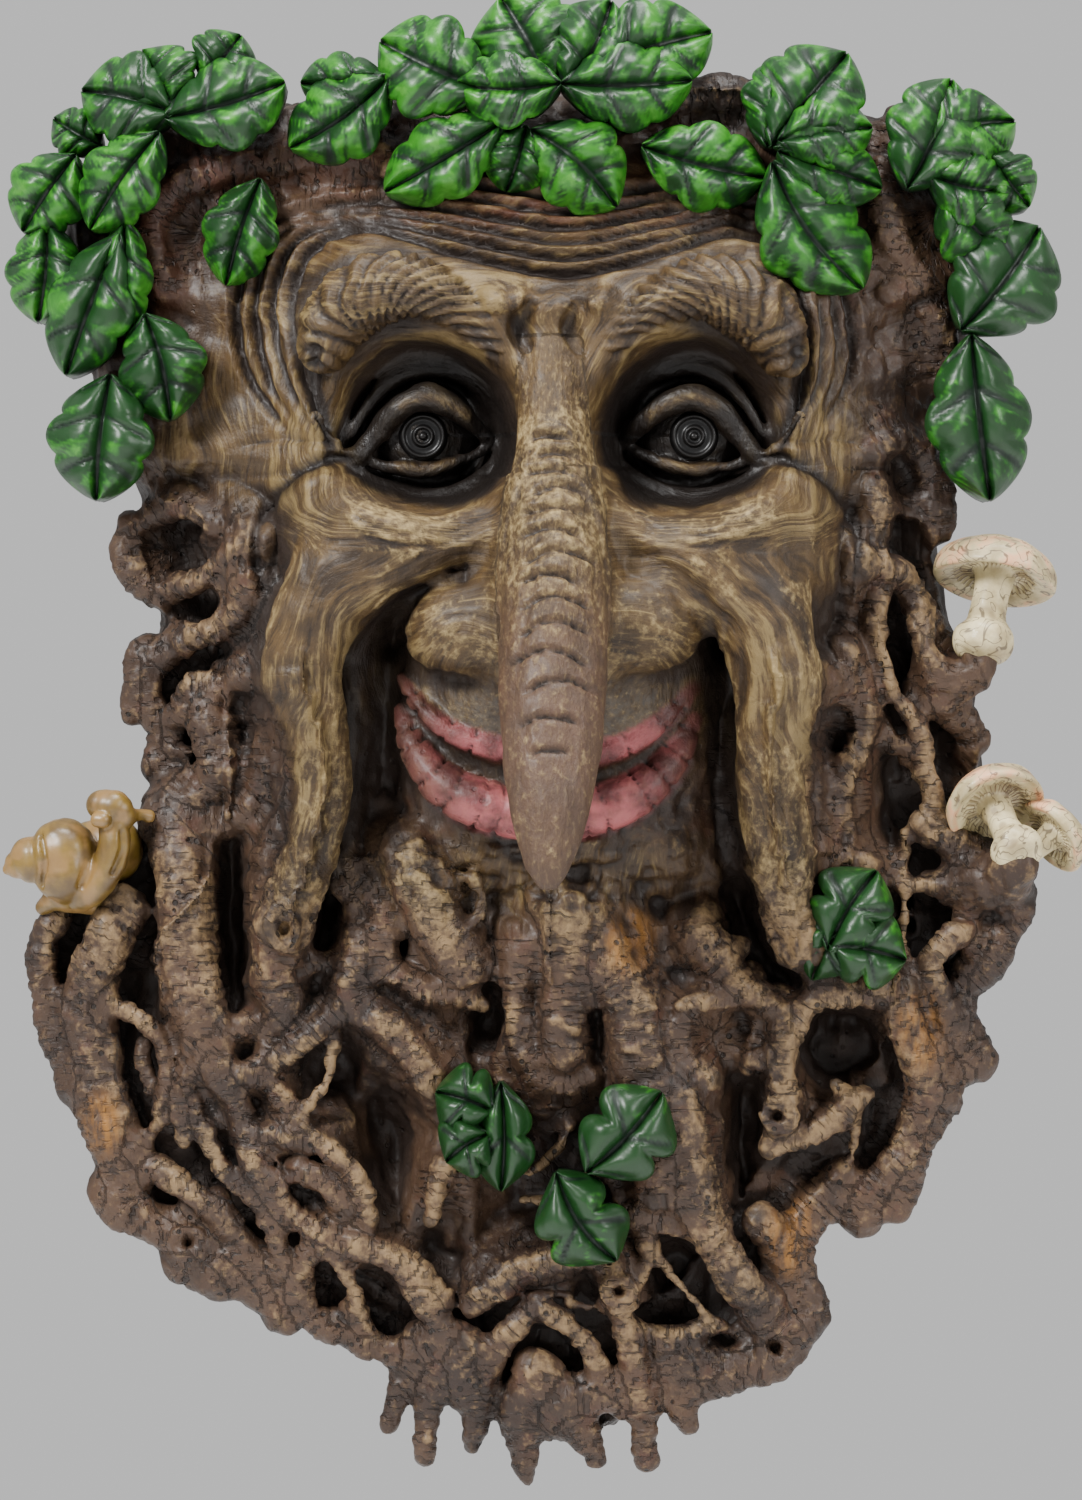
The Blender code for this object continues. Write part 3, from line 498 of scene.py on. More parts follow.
def face_height(x, z):
    """What the face adds to the bark. Each side is measured from the midline."""
    h = RISE * mound(x, z, 3, 56, 56, 60, 5)
    for side in (-1, 1):
        u = (x - MIDLINE) * side
        h -= 21 * mound(u, z, EYE_OUT - 1.5, 62.5, 17.5, 17.5, 6)
        h += 7 * mound(u, z, EYE_OUT + 1, 47, 15, 7, 3)
        h += 12 * mound(u, z, 41, 41, 20, 15, 2.8)
        h -= 7 * near_line(u, z, [(15, 39), (23, 34.5), (30, 29), (33, 21)], 3.2)
        h += 4 * near_line(u, z, [(14, 84), (26, 93), (36, 94), (47, 84)], 8)
        h -= 8 * near_line(u, z, [(33, 25), (34, 6), (35, -20)], 4.5)
        h += 2.5 * near_line(u, z, [(40, 100), (50, 90), (52, 76), (47, 62)], 4)
    h += 4 * near_line(x, z, [(-9, 89), (1, 88), (12, 89)], 3)
    h += 6 * mound(x, z, 0, -24, 26, 14, 3)
    h += 9 * mound(x, z, MIDLINE, 3, 27, 17, 4)
    h += 10 * mound(x, z, MIDLINE, 47, 17, 27, 2.2)
    return h


print("the nose's root stands", round(float(face_height(MIDLINE, 47.0)), 1), "mm over the bark")

# %% [markdown]
# ## The ground under the roots
# Bare bark is rough with fibres that run away from the face, and it sinks between the roots. The
# roots themselves are seated on a plain copy of the ground, without fibres, so that they lie
# level.

# %% Bark, hollows and the edge
def fibres(x, z):
    """Rough bark whose fibres run outwards and down from the face, about 0 in the middle."""
    turn = np.arctan2(x - MIDLINE, 60 - z) * 70
    away = np.hypot(x - MIDLINE, z - 60)
    shape = np.shape(x)
    flat = [np.ravel(v) for v in (x, z, turn, away)]
    streak = noise(np.stack([flat[2], flat[3] * 0.22, flat[2] * 0], 1), 4.0, 15)
    lump = noise(np.stack([flat[0], flat[1], flat[0] * 0], 1), 9.0, 16)
    return (1.2 * streak + 0.7 * lump).reshape(shape)


def hollow_depth(x, z):
    """How far the hollows and valleys sink into the roots' ground."""
    h = np.zeros(np.shape(x))
    for cx, cz, rx, rz, deep in HOLLOWS:
        h += deep * mound(x, z, cx, cz, rx * 1.1, rz * 1.1, 3)
    for cx, cz, rx, rz, deep in VALLEYS:
        h += 0.38 * deep * mound(x, z, cx, cz, rx, rz, 2.2)
    return h


def bark_height(x, z, plain=False):
    """Height of the bark and face off the wall, below 0 outside the edge."""
    gap = to_line(x, z, outline, closed=True)[0]
    gap = np.where(inside(x, z, outline), gap, -gap)
    swell = np.sqrt(1 - (1 - np.clip(gap / 26, 0, 1)) ** 2)
    h = RIM * 0.7 + (bed(x, z) - RIM * 0.7) * swell + face_height(x, z) * np.clip(gap / 14, 0, 1)
    if not plain:
        beside = np.clip((np.abs(x - MIDLINE) - 50) / 8, 0, 1) * np.clip((58 - z) / 12, 0, 1)
        rooted = np.maximum(beside, np.clip((-z - 20) / 12, 0, 1))
        h -= 9.0 * rooted * np.clip(gap / 8, 0, 1)
        h += fibres(x, z) * (1 - mound(x, z, MIDLINE - 8, 52, 68, 62, 6))
    h = np.maximum(h, RIM * 0.5)
    return np.where(gap > 0, h, np.maximum(h + gap * 8, -3))


print("bark at the chin", round(float(bark_height(np.array([0.0]), np.array([-60.0]))[0]), 1), "mm")

# %% [markdown]
# ## Slopes beside the strands
# A cast root has no gap under it, because the mould has to come off. So the ground rises to each
# strand from both sides, and to the outer side of each fold.

# %% Raising the ground
def slopes(x, z, floor):
    """Raises the floor to a slope down from both sides of each strand."""
    for points, (first, last) in STRANDS:
        line = path(points, 2.5)
        low, high = line.min(0) - 16, line.max(0) + 16
        i = slice(*np.searchsorted(x[:, 0], (low[0], high[0])))
        j = slice(*np.searchsorted(z[0], (low[1], high[1])))
        far, run = to_line(x[i, j], z[i, j], line)
        share = np.clip(run / max(np.hypot(*np.diff(line, axis=0).T).sum(), 1), 0, 1)
        seat = bark_height(line[:, 0], line[:, 1], plain=True)
        top = np.interp(share, np.linspace(0, 1, len(line)), seat)
        radius = first + (last - first) * share
        side = top + 0.55 * radius - 0.90 * np.maximum(far - 0.35 * radius, 0)
        floor[i, j] = np.where(floor[i, j] > RIM * 0.9, np.maximum(floor[i, j], side), floor[i, j])
    for rows in FOLDS:
        line = path([row for row in rows if row[1] < 35], 2.0)
        far = to_line(x, z, line[:, :2])[0]
        spot = np.argmin(np.abs(z[..., None] - line[::3, 1]), axis=-1) * 3
        deep, thick = line[spot, 2], line[spot, 3]
        side = LEVEL + deep + 0.45 * thick - 1.25 * np.maximum(far - 0.5 * thick, 0)
        side = side - 1.6 * np.maximum(z - 14, 0)
        outer = (np.abs(x - MIDLINE) > np.abs(line[spot, 0] - MIDLINE)) & (floor > RIM)
        floor = np.where(outer, np.maximum(floor, side), floor)
    return floor


# %% [markdown]
# ## Filling the block
# A height isn't yet a distance: on a steep wall the nearest skin is closer than the height says.
# Dividing by the steepness puts that right well enough for the smooth minimum to work.

# %% From heights to distances
block = Block(LOW, COUNT, STEP)
X, Z = np.meshgrid(block.x, block.z, indexing="ij")
ground = slopes(X, Z, bark_height(X, Z))
ground = np.where(ground > RIM, np.maximum(ground - hollow_depth(X, Z), RIM * 0.5), ground)
slope = np.hypot(*np.gradient(ground, STEP))
steepness = np.sqrt(1 + np.minimum(slope, 5)[..., None] ** 2)
block.field[:] = (block.deep - ground[..., None]) / steepness
print("block", block.count, "bark from", round(ground.min(), 1), "to", round(ground.max(), 1), "mm")

# %% [markdown]
# ## Roots
# Every root follows the ground under it. Its thickness wanders, its ends sink in, and it is
# flatter than a pipe, because it lies half buried. Points along each root are kept, so that the
# rings and the fibres of its bark can follow it later.

# %% Laying the strands
samples = []


def lay_root(line, radius, number, up, blend):
    """Lays one root over the ground and keeps where it runs."""
    x, z = line.T
    gap = np.where(inside(x, z, outline), to_line(x, z, outline, closed=True)[0], 0)
    within = np.clip((gap - 3) / 8, 0, 1)
    radius, up = radius * (1 - 0.24 * within), up + 0.26 * within
    run = np.concatenate([[0], np.cumsum(np.hypot(*np.diff(line, axis=0).T))])
    spot = np.stack([x, z, x * 0 + number * 3.1], 1)
    radius = radius * (1 + 0.10 * noise(spot, 12.0) + 0.05 * noise(spot, 5.0, 1))
    seat = np.maximum(bark_height(x, z, plain=True), RIM)
    seat = np.convolve(np.pad(seat, 4, "edge"), np.ones(9) / 9, "valid")
    sink = 1.2 * np.exp(-run / 3.5) + 1.2 * np.exp(-(run[-1] - run) / 3.5)
    rows = np.stack([x, z, seat + up * radius + 0.8 * noise(spot, 12.0, 3) - sink, radius], axis=1)
    block.lay(rows, blend=blend)
    heading = np.arctan2(np.gradient(z), np.gradient(x))
    samples.append(np.column_stack([rows, run + 100 * number, heading]))


TIP_LIMIT = -146  # the solid's own tips end a little lower
for number, (points, (first, last)) in enumerate(STRANDS):
    line = path(points)
    sway = [noise(np.column_stack([line, line[:, 0] * 0 + k]), 8.0, 5 + k) for k in (0, 1)]
    line = line + 0.9 * np.stack(sway, 1)
    line = line[line[:, 1] > TIP_LIMIT]
    lay_root(line, 0.94 * np.linspace(first, last, len(line)), number, 0.05, 1.6 + 0.35 * first)
print("laid", len(samples), "strands")

# %% [markdown]
# ## Rootlets
# Between the big roots the casting is full of thin ones. They aren't worth picking by hand: a
# seeded walk starts in the beard and heads downwards and outwards, as the strands around it do.

# %% Thin roots from a seeded walk
walk = np.random.default_rng(21)
ROOTLETS = 110
for number in range(ROOTLETS):
    x, z = walk.uniform(-92, 92), walk.uniform(-132, 55)
    if z > -18 and abs(x - MIDLINE) < 64:
        continue
    heading = math.atan2(-1.0, (x - MIDLINE) / 90) + walk.normal(0, 0.45)
    turn = walk.normal(0, 0.10)
    size = walk.uniform(1.3, 2.4)
    steps = int(walk.uniform(9, 24))
    line = [(x, z)]
    for _ in range(steps):
        heading += turn + walk.normal(0, 0.12)
        line.append((line[-1][0] + 1.3 * math.cos(heading), line[-1][1] + 1.3 * math.sin(heading)))
    line = np.array(line)
    within = inside(line[:, 0], line[:, 1], outline)
    if not within.all() or to_line(line[:, 0], line[:, 1], outline, closed=True)[0].min() < 2:
        continue
    radius, up = size * np.linspace(1, 0.6, len(line)), walk.uniform(-2.0, -0.4)
    lay_root(line, radius, 200 + number, up, 3.0)
print("strands and rootlets", len(samples))

# %% [markdown]
# ## The nose, the lips and the brows
# These stand on the face, so their depths are counted from its level. The nose is one long
# tapering strand that leans out of the wall, with a fatter one behind it for the bridge and one
# for each wing. Its tip is as far out as the solid's.

# %% Points of the nose, the lips and the brows
NOSE_TIP = -cad_low.y / MM - 0.3
NOSE_END = 2.4

nose_line = [
    (2, 84, 5.0), (2, 74, 5.6), (2.2, 60, 6.8), (2.4, 44, 9.2), (2.5, 26, 10.4),
    (2.3, 8, 10.2), (1.8, -8, 8.4), (1.4, -19, 5.4), (1.2, -25, NOSE_END),
]
nose_lean = (NOSE_TIP - NOSE_END - LEVEL + 1.7) / (nose_line[0][1] - nose_line[-1][1])
NOSE = path([(x, z, LEVEL - 2 + (nose_line[0][1] - z) * nose_lean, r) for x, z, r in nose_line])
WINGS = [
    [(-19.5, 23, 2, 6.5), (-16.5, 24, 5, 8.0), (-9, 24, 7, 8)],
    [(24, 24, 2, 7), (20.5, 25, 5, 9.0), (12, 24, 7, 8.5)],
    [(2, 44, 0, 11), (2, 28, 5, 14), (2, 14, 1, 11)],
]
LIPS = [
    [(-28, 14.5, -8, 1.0), (-24, 8.5, -2, 1.9), (-17, 3, 1, 2.2), (-5, -0.5, 3, 2.4),
     (8, -1, 3, 2.4), (18, 1.5, 1, 2.2), (26, 7, -2, 1.9), (30.5, 12.5, -8, 1.0)],
    [(-28, 8, -9, 1.4), (-25, 0.0, -4, 3.2), (-18, -8, 0, 4.5), (-6, -12.5, 2, 5.0),
     (8, -12.5, 2, 5.0), (18.5, -9, 0, 4.5), (26.5, -1.5, -4, 3.2), (30.5, 6, -9, 1.4)],
]
MOUTH = [(-27, 10, -2, 0.6), (-19, 0, 0, 1.3), (-6, -5, 2, 1.6), (8, -5.5, 2, 1.6),
         (20, -1.5, 0, 1.3), (28, 8, -2, 0.6)]
BROWS = [
    [(-9.5, 80, 0, 1.8), (-14, 85.5, 1.0, 3.4), (-20, 90, 1.4, 5.0), (-27, 92, 1.4, 6.4),
     (-34, 90.5, 0.7, 7.4), (-40, 86, -1.0, 7.0), (-43.0, 80, -2.5, 5.2)],
    [(15, 80, 0, 1.8), (19, 85.5, 1.0, 3.4), (25, 89.5, 1.4, 5.0), (32, 91.5, 1.4, 6.4),
     (39, 89.5, 0.7, 7.4), (45, 85, -1.0, 7.0), (48.0, 79, -2.5, 5.2)],
]
print("nose leans", round(nose_lean, 2), "mm out for each mm down")

# %% [markdown]
# ## Joining them to the face
# The fillet tells what a form is: wide where flesh swells out of flesh, as at the folds, and
# narrow where one thing lies on another, as the brows do. The line of the mouth is cut out last.

# %% Laying the strands of the face
def on_face(rows):
    """A smooth strand whose depths are counted from the face's level."""
    line = path(rows)
    line[:, 2] += LEVEL
    return line


block.lay(NOSE, blend=5.0)
for strands, fillet in ((WINGS, 4.0), (FOLDS, 8.0), (BROWS, 1.2), (LIPS, 1.5)):
    for rows in strands:
        block.lay(on_face(rows), blend=fillet)
block.lay(on_face(MOUTH), blend=1.0, cut=True)
for number, rows in enumerate(FOLDS):
    line = on_face([row for row in rows if row[1] < 20])
    run = np.concatenate([[0], np.cumsum(np.hypot(*np.diff(line[:, :2], axis=0).T))])
    heading = np.arctan2(np.gradient(line[:, 1]), np.gradient(line[:, 0]))
    samples.append(np.column_stack([line, run + 100 * (700 + number), heading]))
print("strands, rootlets and folds", len(samples))

# %% [markdown]
# ## The eyes
# An eyeball fills each socket, with a thick lid above it, a thin one below, three bags under that
# and a crease over the upper lid. Everything is given by its distance from the midline, so one
# loop makes both eyes.

# %% Points of the eyes
BALL = [(EYE_OUT - 0.4, EYE_UP, 20.5, 11), (EYE_OUT + 0.4, EYE_UP, 20.5, 11)]
UPPER_LID = [
    (13.5, 61.5, 27, 1.2), (17, 65.2, 30.5, 1.9), (22, 68.8, 32.5, 2.4), (27, 70, 33, 2.7),
    (32, 67.8, 32.5, 2.5), (36, 63, 31, 2.2), (40, 58.5, 31.5, 2.0), (44, 59.5, 34, 1.5),
    (48, 66, 38, 1.2),
]
LOWER_LID = [
    (14, 60.5, 27, 0.9), (20, 57.5, 30, 1.3), (27, 55.8, 31, 1.5), (34, 56.5, 30.5, 1.3),
    (39, 58, 30.5, 1.0),
]
OVER_LID = [
    (13, 69, 24, 0.8), (18, 74, 26.5, 1.4), (26, 76.5, 28, 1.8), (33, 74, 28.5, 1.5),
    (38, 68.5, 28.5, 1.0), (41, 63, 28, 0.6),
]


def bag(k):
    """A bag under the eye, lower and wider for each k."""
    low, out = 51.5 - 2.4 * k, 1 + 0.13 * k
    return [
        (EYE_OUT - 14 * out, low + 5, 27 + k, 1.0),
        (EYE_OUT - 8 * out, low + 1.0, 30 + k, 1.3),
        (EYE_OUT, low - 0.8, 31.5 + 1.3 * k, 1.5),
        (EYE_OUT + 8 * out, low + 1.0, 31.5 + 1.3 * k, 1.3),
        (EYE_OUT + 14 * out, low + 5, 31 + 1.5 * k, 1.0),
    ]


print("each upper lid has", len(UPPER_LID), "points")

# %% [markdown]
# ## Setting in the eyes
# The ball goes in first and the lids are laid over it, from the inside out. The crease over the
# lid gets the widest fillet, so that it runs out softly into the brow.

# %% Eyeballs and lids
def mirrored(rows, side):
    """Mirrors rows of (distance from the midline, z, depth, radius) to one side."""
    return path([(MIDLINE + side * u, z, deep, r) for u, z, deep, r in rows])


EYE_PARTS = [(BALL, 1.0), (UPPER_LID, 1.2), (LOWER_LID, 0.6), *((bag(k), 1.4) for k in range(3)),
             (OVER_LID, 4.0)]
for side in (-1, 1):
    for rows, fillet in EYE_PARTS:
        block.lay(mirrored(rows, side), blend=fillet)
print(2 * len(EYE_PARTS), "strands in the sockets")

# %% [markdown]
# ## The frown
# Between the brows are two short slits, each with a raised lip on its outer side.

# %% Two slits over the nose
for middle in (-3.4, 6.6):
    lip = [(middle - 3, 87, 39, 1.6), (middle - 4.2, 83, 39, 2.2), (middle - 2, 78.5, 39, 1.8)]
    slit = [(middle + 1, 88, 44, 1.3), (middle - 0.8, 83.5, 43, 2.2), (middle + 1, 79, 43, 1.3)]
    block.lay(path(lip), blend=4.0)
    block.lay(path(slit), blend=1.2, cut=True)
print("two slits cut")

# %% [markdown]
# ## Feet of the toadstools
# The toadstools grow from knobs on the right-hand edge, which belong to the casting.

# %% Knobs on the edge
KNOBS = [
    [(78, 12, 15, 5), (83, 13, 17, 4.6), (87, 16, 19, 4.2), (88, 19, 20, 3.4)],
    [(76, 26, 20, 3), (77, 20, 21, 2.6), (80, 15, 20, 3)],
    [(86, -26, 17, 6), (92, -26, 21, 6), (95, -23, 26, 4.4)],
    [(88, -28, 14, 5), (93, -27, 17, 5), (95, -25, 19, 4)],
]
for rows in KNOBS:
    block.lay(path(rows), blend=2.5)
print(len(KNOBS), "knobs")

# %% [markdown]
# ## Knots
# A few branch stubs show as small rings with a dimple in the middle. Each is a ring of strand laid
# where the surface is, so the surface is looked up first.

# %% Rings around the knots
KNOTS = [
    (-51, -35, 3.0, 4.2, 1.2), (-15, -30, 3.2, 4.8, 1.3), (-71, -99, 2.8, 2.8, 1.1),
    (47.5, -73, 2.8, 2.8, 1.2), (15.5, -108, 2.6, 2.6, 1.1), (47, -120, 2.6, 3.0, 1.2),
]
for x, z, rx, rz, thick in KNOTS:
    turn = np.linspace(0, 2 * math.pi, 25)
    top = block.surface_at(x, z)
    ring = [(x + rx * math.cos(a), z + rz * math.sin(a), top + 0.2, thick) for a in turn]
    block.lay(ring, blend=0.8)
    block.lay([(x, z, top + 3, rx * 0.55), (x, z - 0.5, top - 1.5, rx * 0.4)], blend=0.6, cut=True)
print(len(KNOTS), "knots")

# %% [markdown]
# ## From the block to a mesh
# A cast plaque is flat behind, where the resin lay open in the mould. So the block is emptied
# behind the wall's plane before its skin is taken. The loose crumbs are dropped with it.

# %% Mesh of the casting
behind = round((0 - LOW[2]) / STEP)
block.field[:, :, :behind] = FAR
verts, quads = block.mesh()
print("casting", len(verts), "points,", len(quads), "faces")

# %% [markdown]
# ## Fine carving
# Wrinkles, feathered brows, cracks in the lips and rings on the roots are too fine for the block.
# They are pushed into the mesh instead: each point moves along its normal by an amount that is
# worked out from where it lies. The amount is kept, because the paint needs it too.

# %% Normals and soft steps
def normals_of(verts, quads):
    """A unit normal for each vertex, from the faces around it."""
    a, b, c, d = (verts[quads[:, k]] for k in range(4))
    face = np.cross(c - a, d - b)
    spread = [np.bincount(quads.ravel(), np.repeat(face[:, k], 4), len(verts)) for k in range(3)]
    total = np.stack(spread, 1)
    return total / np.maximum(np.linalg.norm(total, axis=1, keepdims=True), 1e-9)


def ramp(value, low, high):
    """0 up to low, 1 from high on, and a soft step between."""
    t = np.clip((value - low) / (high - low), 0, 1)
    return t * t * (3 - 2 * t)


normal = normals_of(verts, quads)
x, z, deep = verts.T
facing = np.clip(normal[:, 2], 0, 1)
print(round(100 * (facing > 0.5).mean()), "% of the points face forwards")

# %% [markdown]
# ## Which root is nearest
# Rings and fibres have to run round and along each root. A k-d tree over the points that were kept
# finds the nearest one for every vertex, and with it the place along the root and its heading.

# %% The nearest root of each point
every = np.concatenate(samples)
tree = kdtree.KDTree(len(every))
for number, row in enumerate(every):
    tree.insert(row[:3], number)
tree.balance()
found = np.array([tree.find(v)[1:] for v in verts])
nearest = found[:, 0].astype(int)
rooty = 1 - ramp(found[:, 1] - every[nearest, 3], 3.0, 9.0)
along = every[nearest, 4]
heading = every[nearest, 5]
across = (z - every[nearest, 1]) * np.cos(heading) - (x - every[nearest, 0]) * np.sin(heading)
proud = ramp((deep - every[nearest, 2]) / every[nearest, 3], 0.50, 1.0)
crest = proud * (1 - ramp(found[:, 1] - every[nearest, 3], 1.0, 2.0))

print("on roots", round(rooty.mean(), 2), "on their crests", round(crest.mean(), 2))

# %% [markdown]
# ## What is nose and what is skin
# The face is smooth, painted flesh and the rest is bark. Skin is an oval around the eyes, the nose
# and the two folds. Each is a soft mask from 0 to 1, so that bark runs into skin without a line.

# %% Masks of the nose and the skin
nose_x, nose_deep, nose_r = (np.interp(-z, -NOSE[:, 1], NOSE[:, k]) for k in (0, 2, 3))
nose_gap = np.hypot(x - nose_x, deep - nose_deep) - nose_r
on_nose = (1 - ramp(nose_gap, 0.5, 2.5)) * (z < 82) * (z > -30)
half_wide = np.where(x < MIDLINE, 60 + 20 * ramp(z, 44, 60), 60)
skin = 1 - ramp(np.hypot((x - MIDLINE) / half_wide, (z - 55) / 62), 0.86, 1.12)
skin = np.maximum(skin, on_nose)
for rows in FOLDS:
    line = path(rows)
    far = to_line(x, z, line[:, :2])[0]
    thick = np.interp(z, line[::-1, 1], line[::-1, 3])
    skin = np.maximum(skin, (1 - ramp(far - thick, 0.5, 3.5)) * ramp(z, -36, -20) * (z < 40))
rooty = rooty * (1 - 0.85 * skin)
print("on the nose", round(on_nose.mean(), 2), "on skin", round(skin.mean(), 2))

# %% [markdown]
# ## Strokes of the modelling tool
# The sculptor drew the wrinkles with a blunt tool. A stroke is a smooth line that sinks or raises
# the points beside it and fades at its ends.

# %% Pressing a line into the face
lift = np.zeros(len(verts))


def press(points, width, height, taper=6.0, where=None):
    """Presses a groove into the lift, or raises a ridge, along a line that fades at its ends."""
    line = path(points)
    low, high = line.min(0) - 3 * width, line.max(0) + 3 * width
    close = (x > low[0]) & (x < high[0]) & (z > low[1]) & (z < high[1])
    if where is not None:
        close &= where
    near = np.nonzero(close)[0]
    far, run = to_line(x[near], z[near], line)
    length = np.hypot(*np.diff(line, axis=0).T).sum()
    fade = np.clip(np.minimum(run, length - run) / taper, 0, 1)
    lift[near] += height * fade * np.exp(-((far / width) ** 2)) * facing[near]


off_nose = on_nose < 0.5
print("the tool may press", off_nose.sum(), "points beside the nose")

# %% [markdown]
# ## Wrinkles of the forehead and the temples
# Six wrinkles cross the forehead. The first four also run down both temples, further out each
# time. Each has a raised lip on its outer side.

# %% Six long wrinkles
for k in range(6):
    wide = 3.6 * k
    fold = [(-34 - k, 104 + 1.8 * k), (-18, 99.5 + 2.7 * k), (4, 94.5 + 3.1 * k),
            (24, 99 + 2.7 * k), (38 + k, 103 + 2.2 * k)]
    if k < 4:
        left = [(-42 - wide * 0.6, 61), (-48 - wide, 75), (-50 - wide, 90), (-45 - wide, 101 + k)]
        right = [(48 + wide * 0.8, 99), (53 + wide * 0.8, 88), (53 + wide * 0.8, 74),
                 (48 + wide * 0.5, 61)]
        fold = [*left, *fold, *right]
    groove = -2.8 if k == 0 else -2.0 - 0.5 * (k % 2)
    press(fold, 0.9 + 0.1 * (k % 2), groove, 12, off_nose)
    outside = [(px + 1.6 * np.sign(px), pz + 1.6) for px, pz in fold]
    press(outside, 1.2, 1.0, 12, off_nose)
print("wrinkles reach from", round(lift.min(), 2), "to", round(lift.max(), 2), "mm")

# %% [markdown]
# ## Lines around the eyes
# At the outer corner of each eye the wrinkles meet: one runs down the cheek, one out to the
# temple, and one up beside the brow. The points are distances from the midline, so one table
# serves both eyes.

# %% Crow's feet and cheek lines
EYE_LINES = [
    ([(38, 58), (46, 57.5), (53, 54), (58, 48), (60, 40), (58, 30)], 1.1, -2.0, 5),
    ([(39, 60), (47, 61), (56, 62), (66, 60)], 0.7, -1.0, 6),
    ([(48, 83), (48.5, 74), (46.5, 66), (42, 59)], 1.6, -2.6, 6),
    ([(44.5, 81), (45, 74), (43, 67)], 1.5, 1.2, 6),
    ([(40, 56), (47, 54), (54, 49), (57, 42)], 0.8, 0.8, 6),
]
for k in range(4):
    EYE_LINES.append(([(58 + 2.5 * k, 52 - k), (61 + 2 * k, 42), (60 + 2 * k, 30)], 0.6, -0.7, 6))
for k in range(2):
    under_eye = [(12, 48 - 2 * k), (20, 43.5 - 2 * k), (29, 42.5 - 2.4 * k), (38, 45 - 3 * k),
                 (44, 50 - 3 * k)]
    EYE_LINES.append((under_eye, 0.7, -0.8, 6))
for side in (-1, 1):
    for points, width, height, taper in EYE_LINES:
        press([(MIDLINE + side * u, level) for u, level in points], width, height, taper)
print("strokes reach from", round(lift.min(), 2), "to", round(lift.max(), 2), "mm")

# %% [markdown]
# ## Feathered brows
# Each brow is combed into barbs that slant outwards from its middle. A saw of the run along the
# brow, leaned over by the distance from its middle line, gives them.

# %% Barbs of the brows
def along_strand(rows):
    """For each point: how far it is from a strand's line and from its side, and where that is."""
    line = path(rows)
    far, run = to_line(x, z, line[:, :2])
    share = np.linspace(0, run.max(), len(line))
    middle_x, middle_z, thick = (np.interp(run, share, line[:, k]) for k in (0, 1, 3))
    return far, far - thick, run, middle_x, middle_z


on_brow = np.zeros(len(verts))
for rows in BROWS:
    _, past, run, middle_x, middle_z = along_strand(rows)
    mask = (1 - ramp(past, -0.2, 1.0)) * (deep > LEVEL - 2)
    lean = 0.5 * np.sign(rows[0][0] - MIDLINE)
    slant = 1.25 * (z - middle_z) - lean * (x - middle_x)
    barb = (run + 0.8 * slant) / 3.1 + 0.25 * noise(np.stack([x, z, deep], 1), 5.0, 12)
    lift += mask * 1.5 * (np.abs((barb % 1) - 0.5) * 2 - 0.6)
    on_brow = np.maximum(on_brow, mask)
print("on the brows", int((on_brow > 0.5).sum()), "points")

# %% [markdown]
# ## Cracked lips
# The lips are split by short cracks that run across them. They are close to evenly spaced, and
# noise keeps them from looking ruled.

# %% Cracks in the lips
on_lip = np.zeros(len(verts))
for rows in LIPS:
    far, past, run, _, _ = along_strand(rows)
    mask = (1 - ramp(past, -0.3, 0.9)) * (deep > 30) * (deep < 55) * (on_nose < 0.5)
    crack = run / 5.6 + 0.5 * noise(np.stack([run, run * 0, run * 0], 1), 3.0, 5) + 0.03 * far
    crack = np.abs(crack % 1 - 0.5)
    lift -= mask * 0.95 * np.exp(-((crack / 0.08) ** 2)) * ramp(far, 0.0, 1.4)
    on_lip = np.maximum(on_lip, mask)
print("on the lips", int((on_lip > 0.5).sum()), "points")

# %% [markdown]
# ## Rings of the nose
# The nose is a root, ringed like a carrot. Each ring is a shallow bow with its own level and
# width, and a swelling follows it on the upper half of the nose.

# %% Bowed rings
RINGS = [
    (62, 2), (58.5, 2), (55, 3), (51.5, 3), (47.5, 4), (43.5, 4), (39, 5), (34.5, 4), (30, 5),
    (25, 5), (19.5, 6), (13.5, 5), (6.5, 4), (0, 2),
]
for number, (level, wide) in enumerate(RINGS):
    shift = 1.2 * math.sin(2.4 * number)
    wobble = noise(np.stack([x, z * 0, z * 0 + number], 1), 3.0)
    bend = z - level + 0.055 * (x - nose_x - shift) ** 2 + 0.25 * wobble
    reach = 1 - ramp(np.abs(x - nose_x - shift), wide + 0.5, wide + 3.0)
    lift -= on_nose * reach * 1.1 * np.exp(-((bend / 0.5) ** 2))
    lift += on_nose * reach * (0.7 if level > 32 else 0.15) * np.exp(-(((bend - 1.6) / 1.0) ** 2))
grain = noise(np.stack([x * 1.6, z * 0.28, deep * 0.8], 1), 2.0, 2)
lift += on_nose * 0.26 * grain
print(len(RINGS), "rings")

# %% [markdown]
# ## Roots and bark up close
# Roots are ringed and knobbly, and the bark between them is furrowed. Both are noise: stretched
# along the root or the bark, and laid over with lumps and pebbles of two sizes.

# %% Rings, furrows, lumps and pebbles
place = np.stack([x, z, deep], 1)
lumps = noise(place, 6.0, 4)
pebbles = noise(place, 2.2, 6)
rings = noise(np.stack([along * 1.0, x * 0.22 + along, z * 0.22], 1), 1.5, 8)
lift += rooty * (1 - on_lip) * (0.40 * lumps + 0.60 * (0.25 - np.abs(rings)) + 0.32 * pebbles)
bark_only = (1 - rooty) * (1 - skin) * (1 - on_lip)
furrow = noise(np.stack([x * 1.0, z * 0.30, deep * 0.6], 1), 2.2, 9)
lift += bark_only * (0.6 * furrow + 0.35 * pebbles + 0.4 * lumps)
print("carving reaches from", round(lift.min(), 2), "to", round(lift.max(), 2), "mm")

